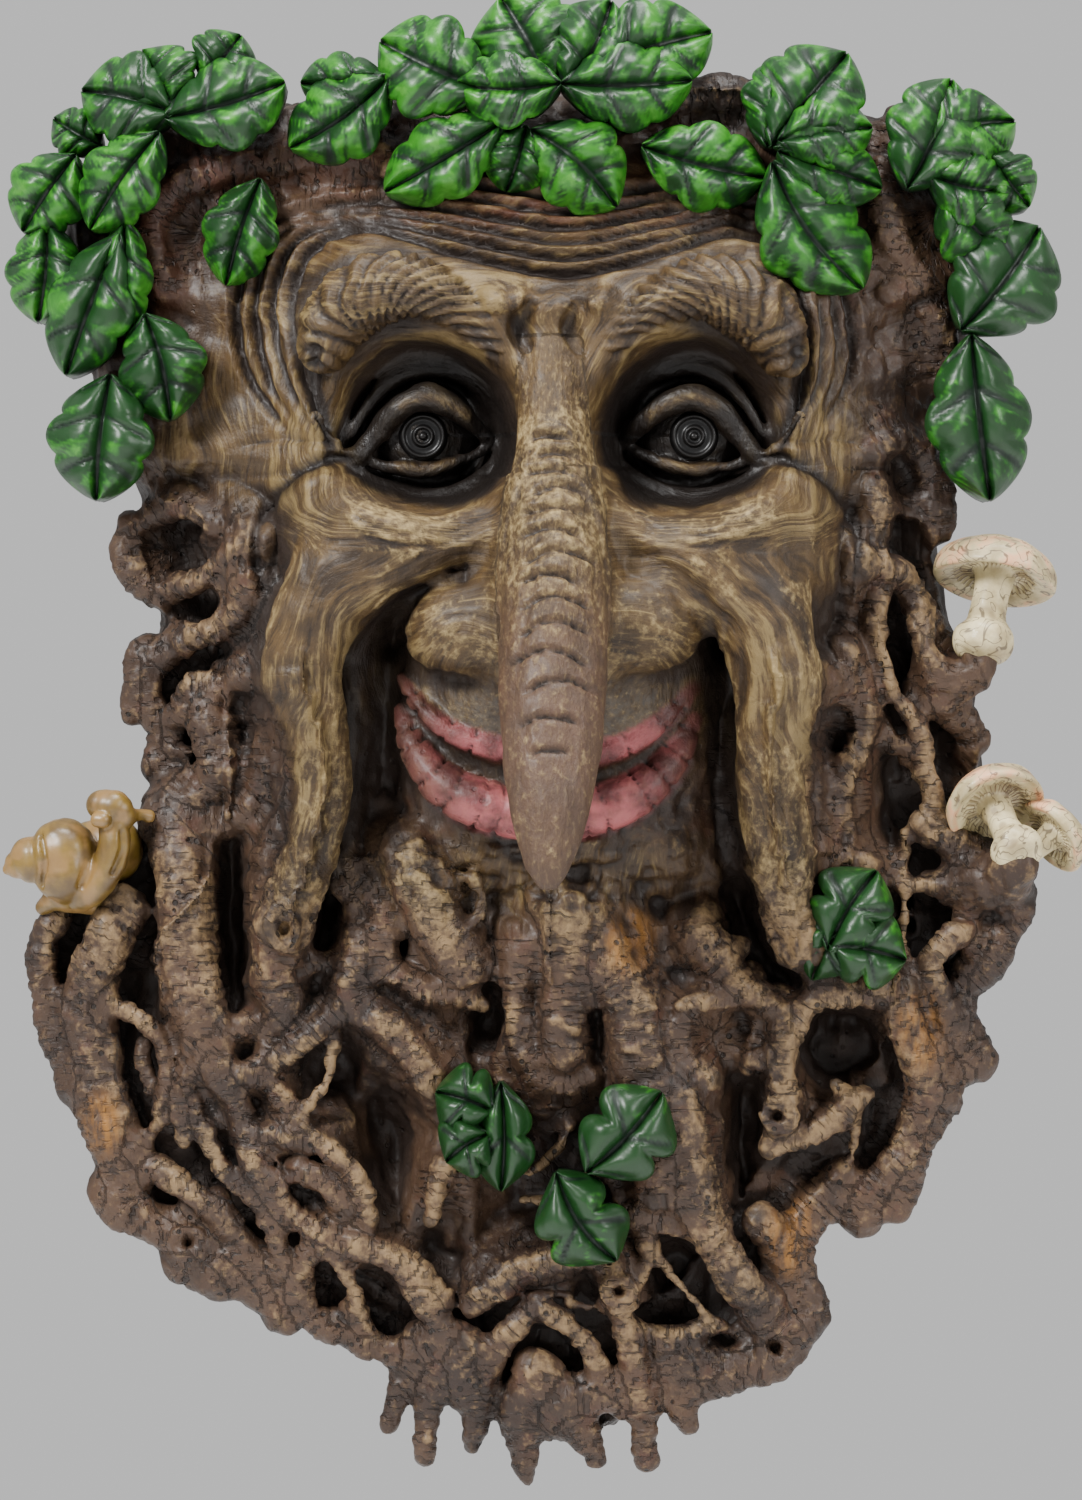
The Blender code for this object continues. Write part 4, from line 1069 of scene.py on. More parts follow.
# %% [markdown]
# ## The flow of the skin
# The skin was scraped with a wire comb, so it is covered with fine strokes that ring the eyes,
# bend round the cheeks and cross the forehead. Two numbers describe that: the phase counts across
# the strokes and the cross value runs along them. Each region has its own pair, and they are
# blended.

# %% Phase and cross value
flesh = skin * (1 - on_nose) * (1 - on_brow) * (1 - on_lip) * (1 - rooty)
u = np.abs(x - MIDLINE)
round_eye = np.hypot(u - EYE_OUT, z - EYE_UP)
turn = np.arctan2(z - EYE_UP, u - EYE_OUT) * 12
fold_u = np.interp(-z, [-12, 5, 18, 31, 60], [42, 43, 46, 44, 50])
low_part = 1 - ramp(z, 36, 48)
over = np.maximum(z - 12, 0)
cheek = np.hypot(u - 18, over) - (fold_u - 42)
cheek_turn = np.arctan2(over, np.maximum(u - 18, 1)) * 25 + np.minimum(z - 12, 0)
forehead = ramp(z, 84, 95)
temple = ramp(u, 38, 50) * ramp(z, 42, 58)
muzzle = mound(x, z, MIDLINE, 8, 27, 12, 4)


def blend(first, second, share):
    """The first value where the share is 0 and the second where it is 1."""
    return first + (second - first) * share


phase = blend(blend(round_eye, u - EYE_OUT, temple), z - EYE_UP, forehead)
phase = blend(phase, cheek, low_part)
phase = phase + 2.4 * noise(place, 17.0, 21) + 0.9 * noise(place, 7.0, 22)
cross = blend(blend(turn, (z - EYE_UP) * 0.6, temple), x * 0.8, forehead)
cross = blend(blend(cross, cheek_turn, low_part), z * 6, muzzle)
print("phases from", round(phase.min()), "to", round(phase.max()), "mm")

# %% [markdown]
# ## Combing the skin
# Noise that is stretched along the flow gives the strokes, a fine one and a broad one. The chin
# isn't combed but rough, like the bark beside it.

# %% Strokes of the comb
strokes = noise(np.stack([phase, cross * 0.20, x * 0], 1), 1.7, 10)
strokes = strokes * 0.7 + 0.4 * noise(np.stack([phase, cross * 0.16, x * 0], 1), 3.4, 13)
strokes = strokes * (0.65 + 0.5 * noise(place, 9.0, 23)) * (1 - 0.5 * muzzle)
lift += flesh * (0.46 * strokes + 0.25 * lumps + 0.12 * pebbles)
chin = mound(x, z, 1, -24, 34, 9, 3) * (deep < 55) * (1 - on_lip) * (1 - on_nose)
skin = np.maximum(skin, 0.85 * chin)
lift += chin * (0.7 * noise(np.stack([x * 0.5, z * 1.4, deep], 1), 2.6, 11) + 0.3 * pebbles)

back = deep < 0.3
lift[back] = 0
verts = verts + normal * lift[:, None]
verts[back, 2] = 0.0
normal = normals_of(verts, quads)
print("carved", len(verts), "points by up to", round(np.abs(lift).max(), 2), "mm")

# %% [markdown]
# ## Where the paint goes
# The painter brushed a black wash over brown paint and wiped it off, so it stays in the hollows,
# and then dragged an almost dry tan brush over the tops. Here the dark in the hollows is partly
# that wash and partly painted shade, and the tan on the tops is partly dry brush and partly painted
# highlight. Both follow the height of a point against its surroundings. The front is drawn as a
# height map and blurred by several widths: a point below the blur is in a hollow, and one above it
# is on a ridge.

# %% The height map and its blurs
def height_map():
    """The frontmost depth over the map's cells, and which cells have resin in them."""
    i = ((verts[:, 0] - LOW[0]) / STEP).astype(int)
    j = ((verts[:, 1] - LOW[1]) / STEP).astype(int)
    top = np.zeros(COUNT[:2])
    np.maximum.at(top, (i, j), verts[:, 2])
    return top, (top > 1).astype(float)


def blur(image, width):
    """A Gaussian blur over the whole map, in millimetres."""
    rows = np.fft.fftfreq(image.shape[0], STEP)[:, None]
    columns = np.fft.rfftfreq(image.shape[1], STEP)[None, :]
    soft = np.exp(-2 * (math.pi * width) ** 2 * (rows**2 + columns**2))
    return np.fft.irfft2(np.fft.rfft2(image) * soft, s=image.shape)


top, solid = height_map()
high_z = LOW[1] + STEP * np.arange(COUNT[1])
ceiling = LEVEL + 11 - 13 * ramp(-high_z, -8, 8) - 5 * ramp(-high_z, 15, 22)
top = np.minimum(top, ceiling)  # the nose would darken everything under it


def below(width):
    """How far each vertex lies below the surface around it, blurred by the given width."""
    around = blur(top, width) / np.maximum(blur(solid, width), 0.05)
    i = np.clip((x - LOW[0]) / STEP, 0, COUNT[0] - 2)
    j = np.clip((z - LOW[1]) / STEP, 0, COUNT[1] - 2)
    a, b = i.astype(int), j.astype(int)
    u, v = i - a, j - b
    here = around[a, b] * (1 - u) * (1 - v) + around[a + 1, b] * u * (1 - v)
    here += around[a, b + 1] * (1 - u) * v + around[a + 1, b + 1] * u * v
    return here - verts[:, 2]


near_low, mid_low, far_low = below(1.4), below(3.5), below(8.0)
print("the map has", int(solid.sum()), "cells of resin")

# %% [markdown]
# ## Painted shade in the creases, painted highlight on the ridges
# The crease value drives the dark wash and painted shade, and the ridge value the tan brush and
# painted highlight. Both add up what three widths of blur and the carving say: wide hollows go dark
# as a whole, and fine lines inside them.

# %% Values of the wash with painted shade, and of the dry brush with painted highlight
bare = 1 - skin
# Painted shade and dark wash: darker where a point lies below its surroundings and in carved lines.
wash_and_shade = 0.55 * ramp(mid_low, 0.3 + 0.8 * bare, 4 + 2 * bare) + 0.35 * ramp(near_low, 0.05, 1.3)
wash_and_shade += 0.60 * ramp(far_low, 0.5 + 1.5 * bare, 7.5 + 4 * bare)
cut_in = 0.55 * ramp(-lift, 0.15, 1.1) * (0.4 + 0.9 * skin)
wash_and_shade = np.clip(wash_and_shade * (1 - 0.8 * chin) + cut_in + 0.2 * on_brow, 0, 1)
# Painted highlight and dry brush: tan where a point stands above its surroundings or on a carved
# ridge.
dry_brush_and_highlight = ramp(-near_low, 0.0, 1.0) * 0.45 + ramp(-mid_low, 0.1, 2.6) * 0.55
dry_brush_and_highlight = dry_brush_and_highlight + 0.45 * ramp(lift, 0.1, 0.9)
dry_brush_and_highlight = np.clip(dry_brush_and_highlight * (1 - wash_and_shade), 0, 1) * (1 - 0.15 * on_nose) * (1 - 0.6 * on_brow)
# Painted highlight on the top of the nose and the cheeks, and less tan on the temples.
cheek_highlight = mound(np.abs(x - MIDLINE), z, 36, 38, 16, 12, 3)
dry_brush_and_highlight += 0.35 * on_nose * ramp(z, 20, 50) + 0.30 * cheek_highlight - 0.5 * temple
print("creases", round(wash_and_shade.mean(), 2), "ridges", round(dry_brush_and_highlight.mean(), 2))

# %% [markdown]
# ## Black around the eyes
# The painter filled the sockets with black and drew it out into the lines at their outer corners.
# The rims of the lids are left out of the black.

# %% Sockets, lids and corners
socket = 1 - ramp(np.hypot((u - EYE_OUT + 1.5) / 18.5, (z - 61.5) / 18.5), 0.80, 1.02)
socket *= 1 - ramp(deep, 37, 42)
rim_above = near_line(u, z, [(18, 66.5), (22, 68.9), (27, 70.1), (31, 68.6)], 0.8)
rim_below = near_line(u, z, [(21, 57.6), (27, 56.3), (33, 56.8)], 0.8)
lid = 0.6 * rim_above * ramp(deep, 31, 33.5)
lid = np.maximum(lid, 0.8 * rim_below * ramp(deep, 30, 32))
socket *= 1 - lid
corner = near_line(u, z, [(40, 60.5), (46, 65), (48.4, 73), (48, 82)], 1.9) * ramp(-z, -86, -64)
corner = np.maximum(corner, near_line(u, z, [(36, 60), (44, 58.3), (51, 55), (56, 50)], 1.8))
socket = np.maximum(socket, 0.75 * corner)
print("black on", int((socket > 0.5).sum()), "points")

# %% [markdown]
# ## Tints
# A rusty red was brushed over the forehead, the lower nose and the left twig, grey over the upper
# lip, and yellow on four patches of the beard. The lines of the carving and the gap of the mouth
# are painted dark, partly as wash and partly as painted shade.

# %% Red, grey, yellow and the dark lines
RED_TWIG = [(-76, 92), (-78, 106), (-69, 115), (-56, 118), (-26, 117)]
low_nose = on_nose * ramp(z, 40, 10) * ramp(z, -30, -5)
red = 0.9 * mound(x, z, 2, 112, 62, 9, 4) * skin + 0.5 * low_nose
red = np.clip(red + 0.7 * near_line(x, z, RED_TWIG, 6), 0, 1)
grey = mound(x, z, MIDLINE, 7, 24, 8, 4) * (1 - on_nose) * (1 - on_lip)
PATCHES = [(18, -38, 5.5, 7), (76, -56, 4.5, 8), (50, -97, 4.5, 8.5), (-88, -75, 4, 6)]
yellow = np.zeros(len(verts))
for cx, cz, rx, rz in PATCHES:
    yellow = np.maximum(yellow, mound(x, z, cx, cz, rx, rz, 4) * facing)
# Painted shade and wash in the carved grooves and the gap of the mouth.
groove_wash_and_shade = ramp(-lift, 0.35, 1.1)
mouth = near_line(x, z, [(-27, 10), (-19, 0), (-6, -5), (8, -5.5), (20, -1.5), (28, 8)], 2.4)
groove_wash_and_shade = np.maximum(groove_wash_and_shade, mouth * (1 - on_lip) * (1 - on_nose))
brushed = 0.5 + 0.5 * strokes * (1 - on_nose)
phase = np.where(on_nose > 0.5, x * 1.2, phase)
cross = np.where(on_nose > 0.5, z * 3.0, cross)
print(len(PATCHES), "yellow patches")

# %% [markdown]
# ## Shader maths as plain Python
# A Blender material is a graph of nodes. Wrapping a socket in a small class lets the paint be
# written as sums and products: each operator adds one Math node and returns its output.

# %% Sockets that can be added and multiplied
class Wire:
    """An output socket of a node tree, with arithmetic."""

    def __init__(self, paint, socket):
        self.paint, self.socket = paint, socket

    def math(self, operation, first, second):
        return self.paint.add("ShaderNodeMath", {"operation": operation}, {0: first, 1: second})

    def __add__(self, other):
        return self.math("ADD", self, other)

    def __radd__(self, other):
        return self.math("ADD", other, self)

    def __sub__(self, other):
        return self.math("SUBTRACT", self, other)

    def __rsub__(self, other):
        return self.math("SUBTRACT", other, self)

    def __mul__(self, other):
        return self.math("MULTIPLY", self, other)

    def __rmul__(self, other):
        return self.math("MULTIPLY", other, self)


print("wires can be added, subtracted and multiplied")

# %% [markdown]
# ## A box of paint
# Every material here needs the same few things: values from the points, noise, soft steps, one
# colour over another, and a Principled shader at the end. One method adds any node, and the others
# are short names for it.

# %% The paint box
MM_IN_M = 1000


class Paint:
    """A material and the nodes in it."""

    def __init__(self, name):
        self.material = bpy.data.materials.new(name)
        self.material.use_nodes = True
        self.tree = self.material.node_tree
        self.shader = self.tree.nodes["Principled BSDF"]
        self.place = self.add("ShaderNodeTexCoord", out="Object")

    def set(self, socket, value):
        """Links a wire to a socket, or sets the socket's own value."""
        if isinstance(value, Wire):
            self.tree.links.new(value.socket, socket)
        elif socket.type == "RGBA":
            socket.default_value = (*value[:3], 1)
        else:
            socket.default_value = value

    def add(self, kind, settings=None, sockets=None, out=0):
        """Adds any node: first its settings, then its sockets. Returns one of its outputs."""
        node = self.tree.nodes.new(kind)
        for key, value in (settings or {}).items():
            setattr(node, key, value)
        for key, value in (sockets or {}).items():
            self.set(node.inputs[key], value)
        return Wire(self, node.outputs[out])

    def points(self, name):
        """The values that were painted on the points under this name."""
        return self.add("ShaderNodeAttribute", {"attribute_name": name}, out="Fac")

    def mix(self, mask, under, over):
        """One colour over another where the mask is 1."""
        return self.add("ShaderNodeMix", {"data_type": "RGBA"}, {0: mask, 6: under, 7: over}, out=2)

    def step(self, value, low, high):
        """0 up to low, 1 from high on, and a soft step between."""
        settings = {"interpolation_type": "SMOOTHSTEP"}
        sockets = {"Value": value, "From Min": low, "From Max": high}
        return self.add("ShaderNodeMapRange", settings, sockets)

    def absolute(self, value):
        """The value without its sign."""
        return self.add("ShaderNodeMath", {"operation": "ABSOLUTE"}, {0: value})

    def noise(self, size, detail=3.0, rough=0.55, where=None, warp=0.0):
        """Noise from 0 to 1 with lumps of about this size in millimetres."""
        sockets = {"Vector": where or self.place, "Scale": MM_IN_M / size, "Detail": detail,
                   "Roughness": rough, "Distortion": warp}
        return self.add("ShaderNodeTexNoise", None, sockets)

    def finish(self, colour, rough, height, strength=0.6, depth=0.4, **values):
        """Links the colour, the roughness and a bump, and sets plain values by name."""
        relief = {"Strength": strength, "Distance": depth * MM, "Height": height}
        bump = self.add("ShaderNodeBump", None, relief)
        for key, value in {"Base Color": colour, "Roughness": rough, "Normal": bump}.items():
            self.set(self.shader.inputs[key], value)
        for key, value in values.items():
            self.set(self.shader.inputs[key.replace("_", " ")], value)
        return self.material


def rgb(red, green, blue):
    """A screen's colour, from 0 to 255, in the linear values that a shader takes."""
    return tuple(((v / 255 + 0.055) / 1.055) ** 2.4 for v in (red, green, blue))


print("middle grey is", [round(v, 2) for v in rgb(128, 128, 128)])

# %% [markdown]
# ## Paint of the casting
# One recipe paints bark, skin and lips, so that they run into each other as they do on the resin.
# The brown goes on first: dark and reddish in broad patches on the bark, and combed with light and
# dark hairs on the skin, along the same flow as the carved strokes.

# %% Brown base coats
def bark_coat(p, patch, fine):
    """Dark brown in broad patches, reddish in some and tan in specks."""
    broad = p.noise(28, 2)
    bark = p.mix(p.step(broad, 0.35, 0.65), rgb(40, 28, 21), rgb(66, 48, 35))
    bark = p.mix(p.step(patch, 0.55, 0.75) * 0.5, bark, rgb(70, 40, 29))
    return p.mix(p.step(fine, 0.5, 0.8) * 0.6, bark, rgb(98, 77, 54))


def skin_coat(p, patch, hair):
    """Olive brown with hairs along the flow of the skin."""
    strokes = p.points("strokes")
    light = p.step(strokes + (hair - 0.5) * 2.4, 0.50, 1.0) * 0.60
    dark = p.step(0.5 - strokes + (0.5 - hair) * 2.2, 0.05, 0.45) * 0.80
    flesh = p.mix(p.step(patch, 0.3, 0.7), rgb(49, 36, 21), rgb(75, 57, 32))
    flesh = p.mix(light, flesh, rgb(124, 105, 68))
    flesh = p.mix(dark, flesh, rgb(31, 21, 12))
    return p.mix(p.step(p.noise(12, 3), 0.58, 0.75) * 0.35, flesh, rgb(72, 62, 55))


print("base coats mixed")

# %% [markdown]
# ## Tints, the dry brush and painted highlights
# Over the brown come thin tints, where the points ask for them, and tan on the ridges and crests
# that is partly dry brush and partly painted highlight. The lips are pink, and darker towards the
# corners of the mouth.

# %% Tints, dry brush with painted highlights, and lips
def tinted(p, colour, patch, fine):
    """Red, brown and grey tints over the base coat."""
    height = p.add("ShaderNodeSeparateXYZ", None, {0: p.place}, out=2)
    low_nose = p.points("nose") * p.step(height, 0.05, 0.0) * 0.6
    colour = p.mix(p.points("red") * p.step(patch, 0.25, 0.65) * 0.8, colour, rgb(74, 40, 28))
    colour = p.mix(low_nose, colour, rgb(72, 54, 44))
    return p.mix(p.points("grey") * p.step(fine + patch, 0.7, 1.2) * 0.55, colour, rgb(78, 76, 72))


def highlighted_and_dry_brushed(p, colour, patch, fine):
    """Tan on the ridges and crests, partly dry brush and partly painted highlight, lighter on skin
    than on bark.
    """
    skin, dry_brush_and_highlight = p.points("skin"), p.points("dry_brush_and_highlight")
    crest = p.points("crest") * (1 - skin * 0.7)
    dry_and_highlight = dry_brush_and_highlight * 0.8 + crest * 0.25 - skin * 0.32 + (patch - 0.5) * 1.1 + (fine - 0.5) * 1.8
    tan_and_highlight = p.mix(skin, rgb(122, 99, 69), rgb(157, 136, 94))
    return p.mix(p.step(dry_and_highlight, 0.40, 1.3) * 0.85, colour, tan_and_highlight)


def lips_on(p, colour, patch):
    """Pink where the lips are, and brown at the corners of the mouth."""
    beside = p.add("ShaderNodeSeparateXYZ", None, {0: p.place}, out=0) - MIDLINE * MM
    corner = p.step(p.absolute(beside), 0.012, 0.030)
    pink = p.mix(p.step(patch, 0.35, 0.65), rgb(78, 36, 38), rgb(148, 76, 80))
    pink = p.mix(corner * 0.85, pink, rgb(56, 34, 28))
    return p.mix(p.points("lip") * 0.85, colour, pink)


print("tints mixed")

# %% [markdown]
# ## The dark wash and painted shade, and all coats in order
# Last comes the dark: thin, almost black paint in the creases, the pinholes and the rings of the
# roots, partly a wash and partly painted shade. A satin varnish shines most where it is thick. The
# coats could be one long graph; as functions, each can be read and changed by itself.

# %% The casting's paint
def casting_paint(name):
    """The paint of the bark and the face, driven by the values on the points."""
    p = Paint(name)
    wash_and_shade, dry_brush_and_highlight, skin = p.points("wash_and_shade"), p.points("dry_brush_and_highlight"), p.points("skin")
    rooty, lip = p.points("rooty"), p.points("lip")
    patch, fine = p.noise(7, 4), p.noise(1.6, 4, 0.6)
    upright = p.add("ShaderNodeMapping", None, {"Vector": p.place, "Scale": (1.0, 0.6, 0.22)})
    brushed = p.noise(2.2, 5, 0.65, upright)
    flow = {0: p.points("phase") * 0.001, 1: p.points("cross") * 0.00016}
    hair = p.noise(1.0, 4, 0.65, p.add("ShaderNodeCombineXYZ", None, flow))
    colour = p.mix(skin, bark_coat(p, patch, fine), skin_coat(p, patch, hair))
    colour = tinted(p, colour, patch, fine)
    colour = highlighted_and_dry_brushed(p, colour, patch, fine)
    colour = lips_on(p, colour, patch)
    yellow = p.points("yellow") * p.step(brushed, 0.35, 0.6) * 0.85
    colour = p.mix(yellow, colour, rgb(128, 86, 34))
    # Pinholes: dark dots, partly wash and partly painted shade in the pits.
    holes = p.add("ShaderNodeTexVoronoi", None, {"Vector": p.place, "Scale": MM_IN_M / 2.6})
    chosen = p.step(p.noise(5, 2), 0.50, 0.60) * (1 - skin * 0.9) * (0.4 + 0.6 * rooty)
    pits = (1 - p.step(holes, 0.16, 0.26)) * chosen
    # Painted shade and dark wash in the creases, then in the carved lines.
    wash_and_shade_mask = p.step(wash_and_shade + (fine - 0.5) * 0.35, 0.12, 0.95)
    colour = p.mix(wash_and_shade_mask * 0.9, colour, rgb(31, 22, 17))
    colour = p.mix(p.points("line") * 0.75, colour, rgb(26, 18, 14))
    colour = p.mix(p.points("socket") * 0.93, colour, rgb(20, 16, 14))
    colour = p.mix(pits * 0.9, colour, rgb(24, 18, 14))
    # The rings of the roots are darkened in their grooves, as wash and painted shade.
    around = {0: p.points("along") * 0.001, 1: p.points("across") * 0.00025}
    lines = p.noise(1.1, 2, 0.5, p.add("ShaderNodeCombineXYZ", None, around))
    colour = p.mix(rooty * p.step(lines, 0.53, 0.66) * 0.7, colour, rgb(30, 21, 16))
    rough = 0.42 + 0.22 * fine - 0.16 * p.points("socket") - 0.08 * lip + 0.08 * dry_brush_and_highlight
    rough = rough + 0.08 * wash_and_shade_mask
    height = fine * 0.45 + brushed * 0.30 + skin * hair * 0.6 - pits * 0.8
    height = height - rooty * p.step(lines, 0.50, 0.72) * 0.8 + patch * 0.3
    return p.finish(colour, rough, height, 1.0, 0.7, Coat_Weight=0.06, Coat_Roughness=0.25,
                    Specular_IOR_Level=0.28)


PAINTS = {name: casting_paint(name) for name in ("bark_paint", "skin_paint", "lip_paint")}
print("casting paint", len(PAINTS["bark_paint"].node_tree.nodes), "nodes")

# %% [markdown]
# ## Paint of the leaves
# The leaves are bright green under gloss varnish. Dark green fills the midrib and the veins, partly
# a wash and partly painted shade, and was left in patches on the flesh. A paler green on the puffs,
# the tips and the rims is partly brushed on and partly painted highlight.

# %% Green gloss
def leaf_paint_of():
    p = Paint("leaf_paint")
    groove, rise = p.points("groove"), p.points("rise")
    patch, fine = p.noise(9, 4, 0.6), p.noise(1.5, 4, 0.6)
    stroke = p.noise(3.2, 4, 0.6, warp=0.6)
    # Painted highlight: the rise value makes the puffs, the tips and the rims brighter.
    bright = p.step(rise + (stroke - 0.5) * 0.9, 0.35, 0.85)
    green = p.mix(bright, rgb(14, 48, 15), rgb(39, 102, 22))
    green = p.mix(p.step(stroke + rise * 0.35, 0.78, 0.98) * 0.6, green, rgb(70, 128, 46))
    # Painted shade and dark wash in the grooves.
    dark = p.step(groove + (patch - 0.5) * 1.3 + (fine - 0.5) * 0.5, 0.12, 0.70)
    colour = p.mix(dark * 0.9, green, rgb(8, 24, 14))
    height = fine * 0.25 + stroke * 0.5 - groove * 0.5
    rough = 0.32 + 0.16 * fine + 0.12 * dark
    return p.finish(colour, rough, height, 0.4, 0.4, Coat_Weight=0.06, Coat_Roughness=0.2,
                    Specular_IOR_Level=0.35)


PAINTS["leaf_paint"] = leaf_paint_of()
print("leaf paint", len(PAINTS["leaf_paint"].node_tree.nodes), "nodes")

# %% [markdown]
# ## Paint of the shell, the toadstools and the eyes
# The shell and the toadstools are cream with a brown wash, and the caps have a blush of orange.
# Under the caps the brown between the gills is partly wash and partly painted shade.
# The eyes are black gloss over turned rings, which is all that makes them look at you.

# %% Cream and black
def shell_paint_of():
    p = Paint("shell_paint")
    rough_place = p.points("rough")
    patch, fine = p.noise(6, 4, 0.6), p.noise(1.4, 4)
    colour = p.mix(p.step(patch, 0.3, 0.7), rgb(76, 55, 18), rgb(110, 86, 30))
    colour = p.mix(p.step(rough_place + (fine - 0.5), 0.1, -0.7) * 0.6, colour, rgb(130, 98, 56))
    height = fine * 0.3 + patch * 0.4
    rough = 0.34 + 0.2 * fine
    return p.finish(colour, rough, height, 0.5, 0.4, Coat_Weight=0.2, Coat_Roughness=0.25)


def toadstool_paint_of():
    p = Paint("toadstool_paint")
    gill, top = p.points("gill"), p.points("top")
    patch, fine = p.noise(6, 4, 0.6), p.noise(1.3, 4)
    colour = p.mix(p.step(patch, 0.3, 0.7), rgb(150, 134, 96), rgb(204, 190, 148))
    colour = p.mix(top * p.step(patch, 0.45, 0.65) * 0.6, colour, rgb(204, 120, 84))
    crack = p.noise(5.0, 2, 0.4, warp=1.5)
    near_crack = p.absolute(crack - 0.5)
    colour = p.mix(p.step(0.03 - near_crack, 0.0, 0.025) * 0.75, colour, rgb(60, 42, 28))
    # Painted shade and wash between the gills and in the dents.
    between = p.step(0.0 - gill + (fine - 0.5) * 0.5, 0.25, 0.9)
    wash_and_shade_mask = between * 0.7 + p.step(p.points("rough") * -1.0, 0.35, 0.9) * 0.4
    colour = p.mix(wash_and_shade_mask, colour, rgb(84, 62, 44))
    height = fine * 0.4 + patch * 0.4
    return p.finish(colour, 0.42 + 0.2 * fine, height, 0.5, 0.4, Coat_Weight=0.1)


def eye_paint_of():
    p = Paint("eye_paint")
    fine = p.noise(1.0, 3)
    colour = p.mix(p.step(p.points("ring"), 0.4, 1.0) * 0.5, rgb(7, 6, 6), rgb(30, 28, 27))
    rough = 0.30 + 0.2 * fine
    return p.finish(colour, rough, fine, 0.3, 0.2, Coat_Weight=0.08, Coat_Roughness=0.12,
                    Specular_IOR_Level=0.25)


PAINTS["shell_paint"] = shell_paint_of()
PAINTS["toadstool_paint"] = toadstool_paint_of()
PAINTS["eye_paint"] = eye_paint_of()
print(len(PAINTS), "paints")

# %% [markdown]
# ## From arrays to Blender objects
# Points and faces go into a mesh in one go with foreach_set, which is far faster than one vertex
# at a time. Millimetres become metres here, and depth off the wall becomes -Y.

# %% Meshes with painted points
def mesh_object(name, slot, points, faces, paint=None, normals=None):
    """A mesh from rows of (x, z, depth), with a value per point for each kind of paint."""
    mesh = bpy.data.meshes.new(name)
    place = np.stack([points[:, 0], -points[:, 2], points[:, 1]], 1) * MM
    mesh.vertices.add(len(place))
    mesh.vertices.foreach_set("co", place.ravel())
    mesh.loops.add(faces.size)
    mesh.loops.foreach_set("vertex_index", faces.ravel())
    mesh.polygons.add(len(faces))
    mesh.polygons.foreach_set("loop_start", np.arange(len(faces)) * faces.shape[1])
    mesh.update(calc_edges=True)
    mesh.validate()
    mesh.shade_smooth()
    for key, values in (paint or {}).items():
        layer = mesh.attributes.new(key, "FLOAT", "POINT")
        layer.data.foreach_set("value", np.asarray(values, np.float32))
    obj = bpy.data.objects.new(name, mesh)
    bpy.context.scene.collection.objects.link(obj)
    mesh.materials.append(PAINTS[slot])
    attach(obj, BODY)
    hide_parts(CASTING_NODE)
    return obj


def closed_sheet(front, back):
    """Points and faces of a front and a back sheet of one grid, joined around the rim."""
    n, m, _ = front.shape
    number = np.arange(n * m).reshape(n, m)
    corners = [number[:-1, :-1], number[1:, :-1], number[1:, 1:], number[:-1, 1:]]
    quads = np.stack(corners, -1).reshape(-1, 4)
    sides = [number[:-1, 0], number[-1, :-1], number[:0:-1, -1], number[0, :0:-1]]
    rim = np.concatenate(sides)
    after = np.roll(rim, -1)
    wall = np.stack([after, rim, rim + n * m, after + n * m], 1)
    points = np.concatenate([front.reshape(-1, 3), back.reshape(-1, 3)])
    return points, np.concatenate([quads, quads[:, ::-1] + n * m, wall])


print("every piece rides", BODY, "and replaces", CASTING_NODE)

# %% [markdown]
# ## Where the leaves are
# The stalk, the tip, the width and the lift of each leaf come from the same table as the solid's
# leaves, read off the photograph. Leaves scattered at random would miss its gaps and overlaps.

# %% Leaves of the wreath and the beard
LEAVES = [
    # Left side of the wreath.
    ((-88, 121), (-98, 127), 9, 3), ((-73, 127), (-92, 132), 16, 8),
    ((-74, 128), (-80, 140), 16, 6), ((-75, 126), (-51, 133), 16, 9),
    ((-67, 133), (-60, 143), 12, 4), ((-76, 123), (-90, 104), 14, 11),
    ((-93, 119), (-104, 104), 14, 7), ((-99, 106), (-101, 86), 14, 5),
    ((-84, 103), (-95, 75), 15, 10), ((-83, 106), (-84, 83), 10, 8),
    ((-79, 87), (-74, 66), 15, 8), ((-86, 75), (-89, 50), 18, 8), ((-56, 114), (-63, 93), 13, 4),
    # The middle.
    ((-30, 134), (-50, 120), 15, 8), ((-31, 134), (-48, 133), 11, 6),
    ((-11, 131), (-32, 141), 18, 10), ((-7, 125), (-31, 111), 14, 10),
    ((2, 131), (-8, 150), 20, 7), ((4, 132), (-17, 132), 13, 13), ((5, 131), (14, 149), 16, 9),
    ((9, 134), (34, 143), 17, 8), ((4, 132), (30, 133), 15, 12), ((-2, 123), (15, 108), 16, 11),
    ((-3, 124), (-7, 111), 12, 9), ((20, 120), (45, 114), 15, 8), ((46, 120), (61, 139), 19, 9),
    ((45, 120), (50, 138), 13, 6), ((47, 121), (66, 124), 13, 11), ((46, 117), (64, 92), 18, 8),
    ((47, 119), (68, 112), 12, 9),
    # Right side of the wreath.
    ((73, 112), (82, 134), 17, 9), ((76, 117), (95, 126), 15, 7), ((77, 115), (94, 112), 13, 9),
    ((80, 111), (93, 99), 14, 7), ((88, 119), (98, 109), 11, 5), ((84, 84), (100, 105), 20, 6),
    ((86, 83), (90, 50), 18, 6),
]

BEARD_LEAVES = [
    ((57, -40), (67, -24), 15, 8), ((57, -38), (73, -42), 14, 7), ((60, -34), (54, -46), 10, 5),
    ((-9, -72), (-21, -68), 13, 9), ((-10, -76), (-19, -82), 12, 9),
    ((-8, -66), (-8, -88), 11, 7), ((9, -84), (24, -68), 17, 9), ((3, -84), (15, -102), 16, 8),
]

print(len(LEAVES), "leaves in the wreath and", len(BEARD_LEAVES), "in the beard")

